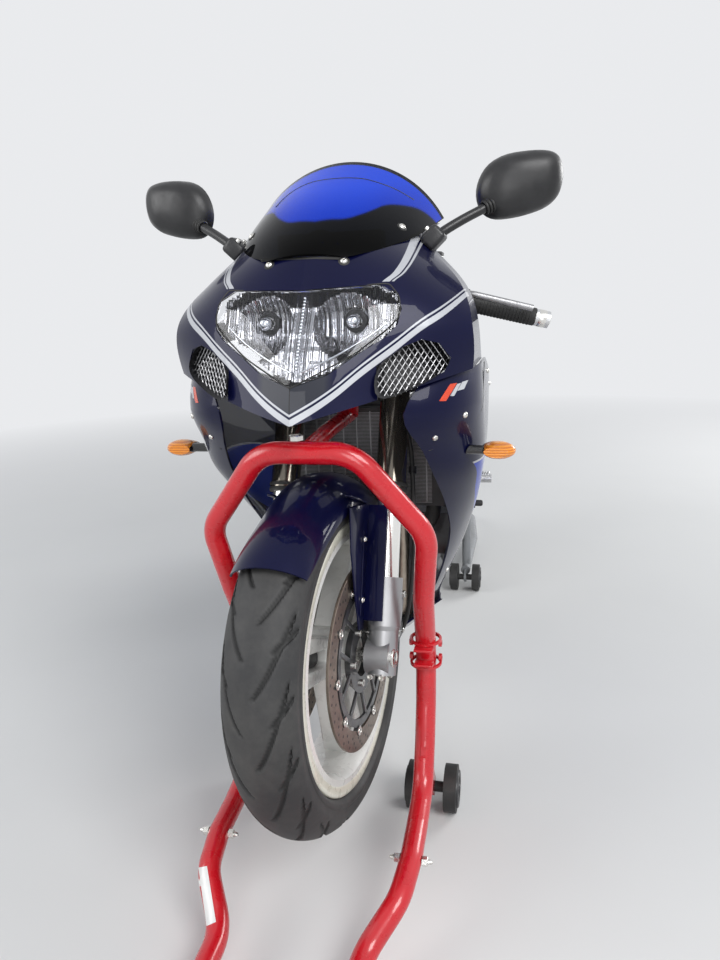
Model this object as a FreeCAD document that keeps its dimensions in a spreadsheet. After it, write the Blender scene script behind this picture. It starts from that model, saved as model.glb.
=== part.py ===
# Sport bike of about 2001 held upright on a front head-lift stand and a rear paddock stand.
# Millimetres. +X is the rider's left, -Y is forward, +Z is up, and the stands' rollers touch z = 0.
import FreeCAD, Part
import math
import os
import re
import Sketcher
from FreeCAD import Placement, Rotation, Vector

doc = FreeCAD.newDocument("SportBike")

SIZES = [
    # alias, value
    ("wheelbase", 1410), ("front_axle_height", 385), ("rear_axle_height", 365),
    ("rake_angle", 24), ("fork_offset", 34.3), ("steer_angle", -6),
    ("front_tyre_radius", 300), ("front_tyre_half_width", 60), ("front_shoulder_radius", 262),
    ("rear_tyre_radius", 315), ("rear_tyre_half_width", 90), ("rear_shoulder_radius", 262),
    ("bead_radius", 216.3), ("flange_radius", 231), ("flange_wall", 6), ("rim_wall", 6),
    ("front_rim_half_width", 52), ("rear_rim_half_width", 77), ("spoke_count", 3),
    ("spoke_root_width", 74), ("spoke_tip_width", 50), ("hub_radius", 42),
    ("front_spoke_thickness", 46), ("rear_spoke_thickness", 56), ("front_hub_half_width", 54),
    ("rear_hub_half_width", 70), ("axle_radius", 12.5), ("axle_bore", 8), ("axle_half_length", 121),
    ("rear_axle_half_length", 150), ("running_fit", 0.05), ("seat_gap", 0.3),
    ("front_disc_radius", 160), ("disc_track", 34), ("disc_thickness", 5), ("front_disc_inner_face", 62),
    ("rear_disc_radius", 110), ("rear_disc_face", 84), ("carrier_thickness", 5),
    ("fork_half_spacing", 103), ("fork_casting_radius", 29), ("fork_casting_top", 135),
    ("fork_inner_radius", 21.5), ("fork_seal_height", 285), ("fork_outer_radius", 27),
    ("fork_top", 738), ("axle_boss_radius", 31), ("axle_boss_inner", 78), ("axle_boss_outer", 120),
    ("top_yoke_height", 706), ("top_yoke_thickness", 22), ("bottom_yoke_height", 478),
    ("bottom_yoke_thickness", 36), ("stem_radius", 15), ("stem_bore", 10), ("head_tube_radius", 34),
    ("stand_tube_radius", 18), ("stand_leg_spacing", 165), ("roller_radius", 45), ("roller_width", 24),
    ("roller_gap", 48), ("spool_radius", 10), ("panel_wall", 4), ("bar_radius", 11.1),
    ("rear_sprocket_radius", 110), ("front_sprocket_radius", 42), ("chain_line", 108),
    ("chain_height", 15), ("chain_width", 20), ("sprocket_thickness", 7),
    ("swingarm_pivot_forward", 570), ("swingarm_pivot_height", 462), ("grip_radius", 16.5),
]
sheet = doc.addObject("Spreadsheet::Sheet", "Sizes")
for row, (alias, value) in enumerate(SIZES, start=1):
    sheet.set(f"A{row}", alias)
    sheet.set(f"B{row}", str(value))
    sheet.setAlias(f"B{row}", alias)
doc.recompute()
ALIASES = [alias for alias, value in SIZES]


def v(alias):
    """A size from the sheet."""
    return float(sheet.get(alias))


def link(expression):
    """The expression with each alias read from the sheet."""
    return re.sub(r"[a-z][a-z_]+", lambda m: "Sizes." + m.group() if m.group() in ALIASES else m.group(),
                  str(expression))


def value_of(expression):
    return float(sheet.evalExpression(link(expression)))


def bind(thing, **formulas):
    """Ties the properties of an object to the sheet."""
    for name, expression in formulas.items():
        thing.setExpression(name, link(expression))
    return thing


FRONT_AXLE = Vector(0, -v("wheelbase") / 2, v("front_axle_height"))
REAR_AXLE = Vector(0, v("wheelbase") / 2, v("rear_axle_height"))
RAKE = math.radians(v("rake_angle"))
STEER_AXIS = Vector(0, math.sin(RAKE), math.cos(RAKE))
STEER_POINT = FRONT_AXLE + Vector(0, math.cos(RAKE), -math.sin(RAKE)) * v("fork_offset")
HEAD_FRAME = Placement(STEER_POINT, Rotation(Vector(1, 0, 0), -v("rake_angle")))
STEER_FRAME = HEAD_FRAME.multiply(Placement(Vector(), Rotation(Vector(0, 0, 1), v("steer_angle"))))
FORK_LINE = -v("fork_offset")
PIVOT = Vector(0, REAR_AXLE.y - v("swingarm_pivot_forward"), v("swingarm_pivot_height"))
NODES = []


def node(thing, label, placement=None):
    """Registers a finished sub-part under its own label."""
    if placement is not None:
        thing.Placement = placement
    thing.Label = label
    NODES.append(thing)
    return thing


def feature(label, shape, placement=None):
    thing = doc.addObject("Part::Feature", label)
    thing.Shape = shape
    return node(thing, label, placement)


def plane_of(body, role):
    return [f for f in body.Origin.OriginFeatures if f.Role == role][0]


def new_body(name):
    return doc.addObject("PartDesign::Body", name)


def polygon_sketch(body, name, role, corners, arcs=()):
    """A closed outline whose corners are tied to the sheet; arcs maps an edge to its bulge point."""
    sketch = body.newObject("Sketcher::SketchObject", name)
    sketch.AttachmentSupport = [(plane_of(body, role), "")]
    sketch.MapMode = "FlatFace"
    arcs = dict(arcs)
    points = [Vector(value_of(a), value_of(b), 0) for a, b in corners]
    ends = []
    for index, start in enumerate(points):
        end = points[(index + 1) % len(points)]
        if index in arcs:
            bulge = Vector(*[value_of(part) for part in arcs[index]], 0)
            arc = Part.Arc(start, bulge, end)
            sketch.addGeometry(arc, False)
            circle = sketch.Geometry[index]
            forward = circle.StartPoint.distanceToPoint(start) < 1e-6
            ends.append((1, 2) if forward else (2, 1))
        else:
            sketch.addGeometry(Part.LineSegment(start, end), False)
            ends.append((1, 2))
    for index in range(len(points)):
        after = (index + 1) % len(points)
        sketch.addConstraint(Sketcher.Constraint("Coincident", index, ends[index][1], after, ends[after][0]))
    for index, (a, b) in enumerate(corners):
        for kind, formula, value in (("DistanceX", a, points[index].x), ("DistanceY", b, points[index].y)):
            sketch.addConstraint(Sketcher.Constraint(kind, -1, 1, index, ends[index][0], value))
            sketch.setExpression(f"Constraints[{sketch.ConstraintCount - 1}]", link(formula))
    for index, bulge in arcs.items():
        radius = sketch.Geometry[index].Radius
        sketch.addConstraint(Sketcher.Constraint("Radius", index, radius))
    return sketch


def revolved_body(name, corners, arcs=(), role="XZ_Plane"):
    """A turned piece: corners are (distance along X, radius), turned about the X axis."""
    body = new_body(name)
    sketch = polygon_sketch(body, name + "Profile", role, corners, arcs)
    turned = body.newObject("PartDesign::Revolution", name + "Turned")
    turned.Profile = sketch
    turned.ReferenceAxis = (sketch, ["H_Axis"])
    turned.Angle = 360
    return body


def cylinder_along(start, end, radius):
    """A plain cylinder between two points."""
    start = Vector(*start)
    direction = Vector(*end) - start
    return Part.makeCylinder(radius, direction.Length, start, direction)


def box_between(low, high):
    low = Vector(*low)
    size = Vector(*high) - low
    return Part.makeBox(size.x, size.y, size.z, low)


def fused(shapes):
    return shapes[0].multiFuse(list(shapes[1:])).removeSplitter()


def mirrored(shape):
    return shape.mirror(Vector(), Vector(1, 0, 0))


def pair(shape):
    """The piece and its mirror image as two solids."""
    return Part.makeCompound(shape.Solids + mirrored(shape).Solids)


def bent_wire(points, bend):
    """Straight runs joined by tangent arcs."""
    points = [Vector(*point) for point in points]
    edges = []
    start = points[0]
    for index in range(1, len(points) - 1):
        before = points[index - 1] - points[index]
        after = points[index + 1] - points[index]
        half_turn = (math.pi - before.getAngle(after)) / 2
        shorter = min(before.Length, after.Length)
        radius = min(bend, 0.45 * shorter / math.tan(half_turn))
        back = radius * math.tan(half_turn)
        before.normalize()
        after.normalize()
        entry = points[index] + before * back
        leave = points[index] + after * back
        bisector = (before + after).normalize()
        centre = points[index] + bisector * (radius / math.cos(half_turn))
        middle = centre - bisector * radius
        edges.append(Part.LineSegment(start, entry).toShape())
        edges.append(Part.Arc(entry, middle, leave).toShape())
        start = leave
    edges.append(Part.LineSegment(start, points[-1]).toShape())
    return Part.Wire(edges)


def tube(points, radius, bend=60):
    """A round bar along a bent path."""
    path = bent_wire(points, bend)
    direction = path.Edges[0].tangentAt(path.Edges[0].FirstParameter)
    ring = Part.Wire([Part.makeCircle(radius, Vector(*points[0]), direction)])
    return path.makePipeShell([ring], True, True)


def closed_wire(start, steps):
    """A closed outline: each step is an end point, or a pair of a bulge point and an end point."""
    edges = []
    here = Vector(*start)
    for step in steps:
        if isinstance(step[0], tuple):
            bulge, end = Vector(*step[0]), Vector(*step[1])
            edges.append(Part.Arc(here, bulge, end).toShape())
        else:
            end = Vector(*step)
            edges.append(Part.LineSegment(here, end).toShape())
        here = end
    return Part.Wire(edges)


def loft(wires):
    return Part.makeLoft(wires, True, False)


def link_plate(x, thick, first, first_radius, second, second_radius):
    """A flat link with round ends between two points given as y and z."""
    start, end = Vector(x - thick / 2, *first), Vector(x - thick / 2, *second)
    across = (end - start).cross(Vector(1, 0, 0)).normalize()
    corners = [start + across * first_radius, end + across * second_radius,
               end - across * second_radius, start - across * first_radius]
    web = Part.Face(Part.makePolygon(corners + [corners[0]])).extrude(Vector(thick, 0, 0))
    ends = [Part.makeCylinder(radius, thick, point, Vector(1, 0, 0))
            for point, radius in ((start, first_radius), (end, second_radius))]
    return fused([web] + ends)


# Wheels


def tyre(name, radius, half_width, shoulder, rim_half):
    """A tyre that fills the rim well between the flanges."""
    inner = f"{rim_half} - flange_wall - 0.3"
    corners = [(f"-({inner})", "bead_radius"), (inner, "bead_radius"), (inner, "flange_radius + 1"),
               (half_width, shoulder), (f"-{half_width}", shoulder), (f"-({inner})", "flange_radius + 1")]
    bulge_x = value_of(half_width)
    bulge_r = (value_of("flange_radius") + value_of(shoulder)) / 2 - 2
    arcs = {2: (bulge_x, bulge_r), 3: ("0", radius), 4: (-bulge_x, bulge_r)}
    return revolved_body(name, corners, arcs)


def rim(name, rim_half, spoke_thickness, hub_half):
    """A cast wheel: a dropped barrel, a hub and hollow-sided spokes."""
    body = revolved_body(name, [
        (f"-{rim_half}", "flange_radius"), (f"-{rim_half}", "bead_radius - rim_wall - 6"),
        (f"-{rim_half} + 14", "bead_radius - rim_wall - 14"), (f"{rim_half} - 14", "bead_radius - rim_wall - 14"),
        (rim_half, "bead_radius - rim_wall - 6"), (rim_half, "flange_radius"),
        (f"{rim_half} - flange_wall", "flange_radius"), (f"{rim_half} - flange_wall", "bead_radius - 0.3"),
        (f"-{rim_half} + flange_wall", "bead_radius - 0.3"), (f"-{rim_half} + flange_wall", "flange_radius")])
    hub = polygon_sketch(body, name + "HubProfile", "XZ_Plane", [
        (f"-{hub_half}", "axle_radius + running_fit"), (hub_half, "axle_radius + running_fit"),
        (hub_half, "hub_radius"), (f"-{hub_half}", "hub_radius")])
    hub_turned = body.newObject("PartDesign::Revolution", name + "Hub")
    hub_turned.Profile = hub
    hub_turned.ReferenceAxis = (hub, ["H_Axis"])
    hub_turned.Angle = 360
    spoke = polygon_sketch(body, name + "SpokeProfile", "YZ_Plane", [
        ("-spoke_root_width / 2", "hub_radius - 10"), ("spoke_root_width / 2", "hub_radius - 10"),
        ("spoke_tip_width / 2", "bead_radius - rim_wall - 8"), ("-spoke_tip_width / 2", "bead_radius - rim_wall - 8")])
    pad = body.newObject("PartDesign::Pad", name + "Spoke")
    pad.Profile = spoke
    pad.Midplane = True
    bind(pad, Length=spoke_thickness)
    pattern = body.newObject("PartDesign::PolarPattern", name + "Spokes")
    pattern.Originals = [pad]
    pattern.Axis = (plane_of(body, "X_Axis"), [""])
    pattern.Angle = 360
    bind(pattern, Occurrences="spoke_count")
    body.Tip = pattern
    return body


front_tyre = tyre("FrontTyre", "front_tyre_radius", "front_tyre_half_width", "front_shoulder_radius",
                  "front_rim_half_width")
rear_tyre = tyre("RearTyre", "rear_tyre_radius", "rear_tyre_half_width", "rear_shoulder_radius",
                 "rear_rim_half_width")
front_rim = rim("FrontRim", "front_rim_half_width", "front_spoke_thickness", "front_hub_half_width")
rear_rim = rim("RearRim", "rear_rim_half_width", "rear_spoke_thickness", "rear_hub_half_width")
FRONT_WHEEL = STEER_FRAME.multiply(Placement(Vector(0, FORK_LINE, 0), Rotation()))
REAR_WHEEL = Placement(REAR_AXLE, Rotation())
node(front_tyre, "front_tyre", FRONT_WHEEL)
node(front_rim, "front_rim", FRONT_WHEEL)
node(rear_tyre, "rear_tyre", REAR_WHEEL)
node(rear_rim, "rear_rim", REAR_WHEEL)


def disc(hub_face, disc_face, radius):
    """A brake disc on its carrier, outboard of the hub."""
    inner = radius - v("disc_track")
    thick = v("disc_thickness")
    carrier_end = hub_face + v("carrier_thickness")
    ring = Part.makeCylinder(radius, thick, Vector(disc_face, 0, 0), Vector(1, 0, 0))
    ring = ring.cut(Part.makeCylinder(inner, thick, Vector(disc_face, 0, 0), Vector(1, 0, 0)))
    plate = Part.makeCylinder(inner + 4, carrier_end - hub_face, Vector(hub_face, 0, 0), Vector(1, 0, 0))
    cup = Part.makeCylinder(inner + 4, disc_face + thick - hub_face, Vector(hub_face, 0, 0), Vector(1, 0, 0))
    cup = cup.cut(Part.makeCylinder(inner - 6, 80, Vector(carrier_end, 0, 0), Vector(1, 0, 0)))
    bore = Part.makeCylinder(v("axle_radius") + 6, 200, Vector(-50, 0, 0), Vector(1, 0, 0))
    return ring.multiFuse([plate, cup]).cut(bore).removeSplitter()


feature("front_discs", pair(disc(v("front_hub_half_width"), v("front_disc_inner_face"), v("front_disc_radius"))),
        FRONT_WHEEL)
feature("rear_disc", mirrored(disc(v("rear_hub_half_width"), v("rear_disc_face"), v("rear_disc_radius"))),
        REAR_WHEEL)
sprocket = Part.makeCylinder(v("rear_sprocket_radius") - 4, v("sprocket_thickness"),
                             Vector(v("chain_line") - v("sprocket_thickness") / 2, 0, 0), Vector(1, 0, 0))
carrier_hub = cylinder_along((v("rear_hub_half_width"), 0, 0), (v("chain_line"), 0, 0), 62)
sprocket = sprocket.fuse(carrier_hub).cut(cylinder_along((0, 0, 0), (200, 0, 0), v("axle_radius") + 6))
feature("rear_sprocket", sprocket.removeSplitter(), REAR_WHEEL)

# Steering head and fork, in the frame of the steering axis


def axle(name, half_length):
    body = revolved_body(name, [(f"-{half_length}", "axle_bore"), (half_length, "axle_bore"),
                                (half_length, "axle_radius"), (f"-{half_length}", "axle_radius")])
    return body


node(axle("FrontAxle", "axle_half_length"), "front_axle", FRONT_WHEEL)
node(axle("RearAxle", "rear_axle_half_length"), "rear_axle", REAR_WHEEL)


CALIPER_FACE = 88.3


def fork_leg():
    """An upside-down fork leg: cast foot, bright inner tube, dust seal and outer tube."""
    x = v("fork_half_spacing")
    stations = [
        # distance up the leg, radius
        (-30, 24), (44, v("fork_casting_radius") - 3), (52, v("fork_casting_radius")),
        (v("fork_casting_top"), v("fork_casting_radius")),
        (v("fork_casting_top"), v("fork_inner_radius")),
        (v("fork_seal_height"), v("fork_inner_radius")),
        (v("fork_seal_height"), v("fork_outer_radius") + 2),
        (v("fork_seal_height") + 16, v("fork_outer_radius") + 2),
        (v("fork_seal_height") + 16, v("fork_outer_radius")),
        (v("fork_top"), v("fork_outer_radius")),
    ]
    outline = [Vector(0, 0, stations[0][0])] + [Vector(r, 0, t) for t, r in stations]
    outline += [Vector(0, 0, stations[-1][0])]
    profile = Part.Face(Part.makePolygon(outline + [outline[0]]))
    leg = profile.revolve(Vector(), Vector(0, 0, 1), 360)
    leg.translate(Vector(x, FORK_LINE, 0))
    boss = cylinder_along((v("axle_boss_inner"), FORK_LINE, 0), (v("axle_boss_outer"), FORK_LINE, 0),
                          v("axle_boss_radius"))
    lug_outline = [(0, 10), (0, 130), (70, 130), (140, 108), (128, 58), (60, 8)]
    lug_points = [Vector(CALIPER_FACE, FORK_LINE + y, t) for y, t in lug_outline]
    lug = Part.Face(Part.makePolygon(lug_points + [lug_points[0]])).extrude(Vector(10, 0, 0))
    bore = cylinder_along((0, FORK_LINE, 0), (200, FORK_LINE, 0), v("axle_radius"))
    return fused([leg, boss, lug]).cut(bore)


feature("fork_legs", pair(fork_leg()), STEER_FRAME)


def yoke(low, thickness, front, back):
    """A fork yoke: a waisted plate bored for the legs and the stem."""
    x = v("fork_half_spacing")
    plate = box_between((-x, -18 + FORK_LINE, low), (x, back, low + thickness))
    ends = [cylinder_along((side * x, FORK_LINE, low), (side * x, FORK_LINE, low + thickness),
                           v("fork_outer_radius") + 12) for side in (-1, 1)]
    whole = fused([plate] + ends)
    for side in (-1, 1):
        whole = whole.cut(cylinder_along((side * x, FORK_LINE, low - 1), (side * x, FORK_LINE, low + thickness + 1),
                                         v("fork_outer_radius") + 0.02))
    return whole


top_yoke = yoke(v("top_yoke_height"), v("top_yoke_thickness"), 0, 24)
top_yoke = top_yoke.cut(cylinder_along((0, 0, 0), (0, 0, 900), v("stem_radius")))
feature("top_yoke", top_yoke, STEER_FRAME)
bottom_yoke = yoke(v("bottom_yoke_height"), v("bottom_yoke_thickness"), 0, 30)
stem_top = v("top_yoke_height") + v("top_yoke_thickness") + 12
stem = cylinder_along((0, 0, v("bottom_yoke_height") - 6), (0, 0, stem_top), v("stem_radius"))
bottom_yoke = bottom_yoke.fuse(stem).cut(cylinder_along((0, 0, 0), (0, 0, stem_top - 20), v("stem_bore")))
feature("bottom_yoke", bottom_yoke.removeSplitter(), STEER_FRAME)

BAR_CLAMP = Vector(v("fork_half_spacing"), FORK_LINE, 672)
BAR_END = Vector(340, 57, 632)


def handlebar():
    """A clip-on bar: a clamp ring round the fork tube, a tapered arm and the bar with its end weight."""
    along = (BAR_END - BAR_CLAMP).normalize()
    clamp = cylinder_along(BAR_CLAMP - Vector(0, 0, 20), BAR_CLAMP + Vector(0, 0, 20), v("fork_outer_radius") + 9)
    bar = cylinder_along(BAR_CLAMP + along * 30, BAR_END, v("bar_radius"))
    weight = cylinder_along(BAR_END, BAR_END + along * 26, v("grip_radius") - 1)
    ring = fused([clamp, bar, weight])
    return ring.cut(cylinder_along((BAR_CLAMP.x, FORK_LINE, 0), (BAR_CLAMP.x, FORK_LINE, 900),
                                   v("fork_outer_radius") + 0.02))


def grip():
    along = (BAR_END - BAR_CLAMP).normalize()
    start = BAR_END - along * 122
    sleeve = cylinder_along(start, BAR_END - along * 1, v("grip_radius"))
    flange = cylinder_along(start, start + along * 6, v("grip_radius") + 5)
    return sleeve.fuse(flange).cut(cylinder_along(BAR_CLAMP, BAR_END, v("bar_radius") + 0.02))


def control_lever():
    """A lever perch on the bar with its lever and the fluid pot's foot."""
    along = (BAR_END - BAR_CLAMP).normalize()
    forward = Vector(0, -1, 0)
    root = BAR_END - along * 150
    perch = cylinder_along(root - along * 14, root + along * 14, v("bar_radius") + 8)
    arm = tube([root + forward * 8, root + forward * 34 + along * 6, root + forward * 46 + along * 40,
                root + forward * 42 + along * 150], 6, 20)
    return perch.fuse(arm).cut(cylinder_along(BAR_CLAMP, BAR_END, v("bar_radius") + 0.02))


feature("handlebars", pair(handlebar()), STEER_FRAME)
feature("grips", pair(grip()), STEER_FRAME)
feature("control_levers", pair(control_lever()), STEER_FRAME)

GUARD_RADIUS = v("front_tyre_radius") + 18
GUARD_HALF = 70


def front_mudguard():
    """A curved shell over the tyre whose side arms reach down in front of the fork castings."""
    low, edge = v("front_shoulder_radius") - 22, v("front_shoulder_radius") + 6
    wall = 2.5
    section = closed_wire((-GUARD_HALF, 0, low), [
        (-GUARD_HALF, 0, edge), ((0, 0, GUARD_RADIUS), (GUARD_HALF, 0, edge)), (GUARD_HALF, 0, low),
        (GUARD_HALF - wall, 0, low), (GUARD_HALF - wall, 0, edge),
        ((0, 0, GUARD_RADIUS - wall), (-GUARD_HALF + wall, 0, edge)), (-GUARD_HALF + wall, 0, low),
        (-GUARD_HALF, 0, low)])
    shell = Part.Face(section).revolve(Vector(), Vector(1, 0, 0), -104)
    shell.rotate(Vector(), Vector(1, 0, 0), 34)
    disc_side = v("front_disc_inner_face") + v("disc_thickness") + 5.5
    front = v("fork_casting_radius") + 1
    arm = fused([box_between((GUARD_HALF - wall, -front - wall, 166), (108, -front, low + 34)),
                 box_between((disc_side, -front - wall, 40), (106, -front, 170))])
    return fused([shell, arm, mirrored(arm)])


feature("front_mudguard", front_mudguard(), FRONT_WHEEL)


def front_caliper():
    """A four-piston caliper behind the fork leg, slotted for the disc."""
    block = box_between((46, -56, 134), (88, 56, 178))
    slot = box_between((v("front_disc_inner_face") - 1.5, -80, 60),
                       (v("front_disc_inner_face") + v("disc_thickness") + 1.5, 80, 168))
    body = block.cut(slot)
    body.rotate(Vector(), Vector(1, 0, 0), -62)
    return body


feature("front_calipers", pair(front_caliper()), FRONT_WHEEL)

# Chassis

HEAD_LOW = v("bottom_yoke_height") + v("bottom_yoke_thickness") + 5
HEAD_HIGH = v("top_yoke_height") - 5


def head_point(t):
    return STEER_POINT + STEER_AXIS * t


SPAR_STATIONS = [
    # x, y, z, half height, half width
    (22, -420, 930, 62, 12), (118, -250, 880, 54, 17), (134, -40, 760, 52, 19),
    (136, PIVOT.y, PIVOT.z + 90, 44, 14), (136, PIVOT.y + 10, PIVOT.z - 60, 34, 14),
]


def spar(grow=0):
    """The left box spar, or the room that it needs."""
    parts = []
    for first, second in zip(SPAR_STATIONS, SPAR_STATIONS[1:]):
        along = (Vector(*second[:3]) - Vector(*first[:3])).normalize()
        side = Vector(1, 0, 0)
        up = side.cross(along).normalize()
        wires = []
        for x, y, z, tall, wide in (first, second):
            corners = [Vector(x, y, z) + side * a * (wide + grow) + up * b * (tall + grow)
                       for a, b in ((-1, -1), (1, -1), (1, 1), (-1, 1))]
            wires.append(Part.makePolygon(corners + [corners[0]]))
        parts.append(Part.makeLoft(wires, True, True))
    return fused(parts)


def main_frame():
    """A twin-spar frame from the steering head to the swingarm pivot, with the seat lugs."""
    head = cylinder_along(head_point(HEAD_LOW), head_point(HEAD_HIGH), v("head_tube_radius"))
    brace = cylinder_along((-130, PIVOT.y - 30, PIVOT.z + 95), (130, PIVOT.y - 30, PIVOT.z + 95), 20)
    left = spar()
    lug = box_between((100, -20, 780), (118, SEAT_FRONT - 0.3, 815))
    whole = fused([head, left, mirrored(left), brace, lug, mirrored(lug)])
    whole = whole.cut(cylinder_along(head_point(0), head_point(900), v("stem_radius") + 0.5))
    return whole.cut(cylinder_along((-200, PIVOT.y, PIVOT.z), (200, PIVOT.y, PIVOT.z), v("axle_radius") + 0.1))


SEAT_FRONT = 112
feature("main_frame", main_frame())

ENGINE_FRONT = -300
SPROCKET_CENTRE = (60, PIVOT.z)
mount_boss = cylinder_along((93, 55, 622), (118.2, 55, 622), 16)
shaft = cylinder_along((93, *SPROCKET_CENTRE), (v("chain_line") + 4, *SPROCKET_CENTRE),
                       v("front_sprocket_radius") - 8)
engine = fused([box_between((-93, ENGINE_FRONT, 330), (93, 75, 660)), box_between((-165, -230, 400), (165, -30, 500)),
                box_between((-80, -210, 290), (80, -20, 340)), mount_boss, mirrored(mount_boss), shaft])
feature("engine_block", engine)
radiator_stay = box_between((84, -391, 640), (94, ENGINE_FRONT - 0.3, 655))
feature("radiator", fused([box_between((-175, -425, 575), (175, -391, 774)), radiator_stay, mirrored(radiator_stay)]))


def swingarm():
    """Two tapered box arms joined behind the pivot, with axle plates."""
    root = box_between((62, PIVOT.y - 24, PIVOT.z - 30), (92, PIVOT.y + 70, PIVOT.z + 30))
    wires = []
    for y, z, inner, outer, half in ((PIVOT.y + 40, PIVOT.z, 66, 92, 30),
                                     (REAR_AXLE.y - 60, REAR_AXLE.z + 2, 120, 142, 25)):
        corners = [Vector(inner, y, z - half), Vector(outer, y, z - half), Vector(outer, y, z + half),
                   Vector(inner, y, z + half)]
        wires.append(Part.makePolygon(corners + [corners[0]]))
    beam = Part.makeLoft(wires, True, True)
    plate = box_between((120, REAR_AXLE.y - 80, REAR_AXLE.z - 23), (142, REAR_AXLE.y + 55, REAR_AXLE.z + 27))
    side = fused([root, beam, plate])
    cross = box_between((-92, PIVOT.y + 30, PIVOT.z - 26), (92, PIVOT.y + 66, PIVOT.z + 26))
    whole = fused([side, mirrored(side), cross])
    for point in (PIVOT, REAR_AXLE):
        whole = whole.cut(cylinder_along((-300, point.y, point.z), (300, point.y, point.z), v("axle_radius") + 0.02))
    return whole


arm_solid = swingarm()
feature("swingarm", arm_solid)
feature("pivot_bolt", cylinder_along((-150, PIVOT.y, PIVOT.z), (150, PIVOT.y, PIVOT.z), v("axle_radius")))
def chain_loop(offset, width, middle):
    """A band round both sprockets, offset from the pitch line."""
    front_y, front_z = SPROCKET_CENTRE
    front_r, rear_r = v("front_sprocket_radius") + offset, v("rear_sprocket_radius") + offset
    run = Vector(0, REAR_AXLE.y - front_y, REAR_AXLE.z - front_z)
    lean = math.asin((rear_r - front_r) / run.Length)
    slope = math.atan2(run.z, run.y)
    rims = []
    for sign in (1, -1):
        angle = slope + sign * (math.pi / 2 + lean)
        away = Vector(0, math.cos(angle), math.sin(angle))
        rims.append((Vector(0, front_y, front_z) + away * front_r, REAR_AXLE + away * rear_r))
    back = Vector(0, math.cos(slope), math.sin(slope))
    (top_front, top_rear), (low_front, low_rear) = rims
    wire = Part.Wire([
        Part.LineSegment(top_front, top_rear).toShape(),
        Part.Arc(top_rear, REAR_AXLE + back * rear_r, low_rear).toShape(),
        Part.LineSegment(low_rear, low_front).toShape(),
        Part.Arc(low_front, Vector(0, front_y, front_z) - back * front_r, top_front).toShape()])
    band = Part.Face(wire).extrude(Vector(width, 0, 0))
    band.translate(Vector(middle - width / 2, 0, 0))
    return band


half_height = v("chain_height") / 2
chain = chain_loop(half_height, v("chain_width"), v("chain_line"))
chain = chain.cut(chain_loop(-half_height, 60, v("chain_line")))
chain = chain.cut(chain_loop(0.5, v("sprocket_thickness") + 1.4, v("chain_line")))
feature("drive_chain", chain)


def rear_caliper():
    """A small caliper over the rear disc on a link from the axle."""
    block = box_between((-98, -34, 84), (-74, 34, 124))
    slot = box_between((-v("rear_disc_face") - v("disc_thickness") - 1.5, -60, 60),
                       (-v("rear_disc_face") + 1.5, 60, 116))
    link = link_plate(-100, 8, (0, 0), 20, (0, 92), 14)
    body = fused([block.cut(slot), link])
    body = body.cut(cylinder_along((-200, 0, 0), (0, 0, 0), v("axle_radius") + 0.02))
    body.rotate(Vector(), Vector(1, 0, 0), 38)
    return body


feature("rear_caliper", rear_caliper(), REAR_WHEEL)

# Bodywork

NOSE_REAR = -430
NOSE_SLICES = [
    # height, y at the centre, x and y half way round, x and y at the side, x at the rear edge
    (800, -838, 122, -792, 214, -668, 240),
    (850, -829, 125, -770, 243, -656, 250),
    (900, -808, 140, -752, 251, -664, 252),
    (950, -776, 142, -738, 247, -666, 250),
    (1000, -741, 130, -716, 228, -620, 236),
    (1050, -708, 105, -680, 182, -567, 208),
    (1110, -640, 90, -600, 160, -500, 184),
]
LIP_SLOPE = 0.245
LIP_HEIGHT = 811
SCREEN_SLOPE = 0.266
SCREEN_FOOT = (-712, 1046)
HAND_NOTCH = (-432, 988)
HAND_NOTCH_RADIUS = 124


def nose_solid(inset, rear=NOSE_REAR):
    """The nose's outer form, or the same form drawn in by a wall."""
    wires = []
    for z, front, mid_x, mid_y, side_x, side_y, rear_x in NOSE_SLICES:
        front, mid_x, mid_y = front + inset * 1.3, mid_x - inset * 0.5, mid_y + inset
        side_x, side_y, rear_x = side_x - inset, side_y + inset * 0.4, rear_x - inset
        wires.append(closed_wire((-rear_x, rear, z), [
            (-side_x, side_y, z), ((-mid_x, mid_y, z), (0, front, z)), ((mid_x, mid_y, z), (side_x, side_y, z)),
            (rear_x, rear, z), (-rear_x, rear, z)]))
    return loft(wires)


def prism(outline, front, back, both=True):
    """A block along Y with the given outline in X and Z."""
    points = [Vector(x, front, z) for x, z in outline]
    if both:
        points += [Vector(-x, front, z) for x, z in reversed(outline) if x > 0]
    return Part.Face(Part.makePolygon(points + [points[0]])).extrude(Vector(0, back - front, 0))


def shifted(outline, amount):
    """The outline grown or shrunk about its middle."""
    middle_x = 0 if outline[0][0] == 0 else sum(x for x, z in outline) / len(outline)
    middle_z = sum(z for x, z in outline) / len(outline)
    grown = []
    for x, z in outline:
        reach = math.hypot(x - middle_x, z - middle_z)
        scale = 1 + amount / reach
        grown.append((middle_x + (x - middle_x) * scale if x else 0, middle_z + (z - middle_z) * scale))
    return grown


LAMP = [(0, 866), (48, 881), (85, 905), (125, 929), (142, 946), (147, 968), (141, 990), (113, 1004), (0, 999)]
INTAKE = [(116, 888), (152, 914), (178, 923), (202, 916), (218, 892), (208, 872), (164, 852), (118, 838)]


def below_lip():
    wedge = [Vector(0, -900, LIP_HEIGHT), Vector(300, -900, LIP_HEIGHT + 300 * LIP_SLOPE),
             Vector(300, -900, 700), Vector(-300, -900, 700), Vector(-300, -900, LIP_HEIGHT + 300 * LIP_SLOPE)]
    return Part.Face(Part.makePolygon(wedge + [wedge[0]])).extrude(Vector(0, 600, 0))


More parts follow.
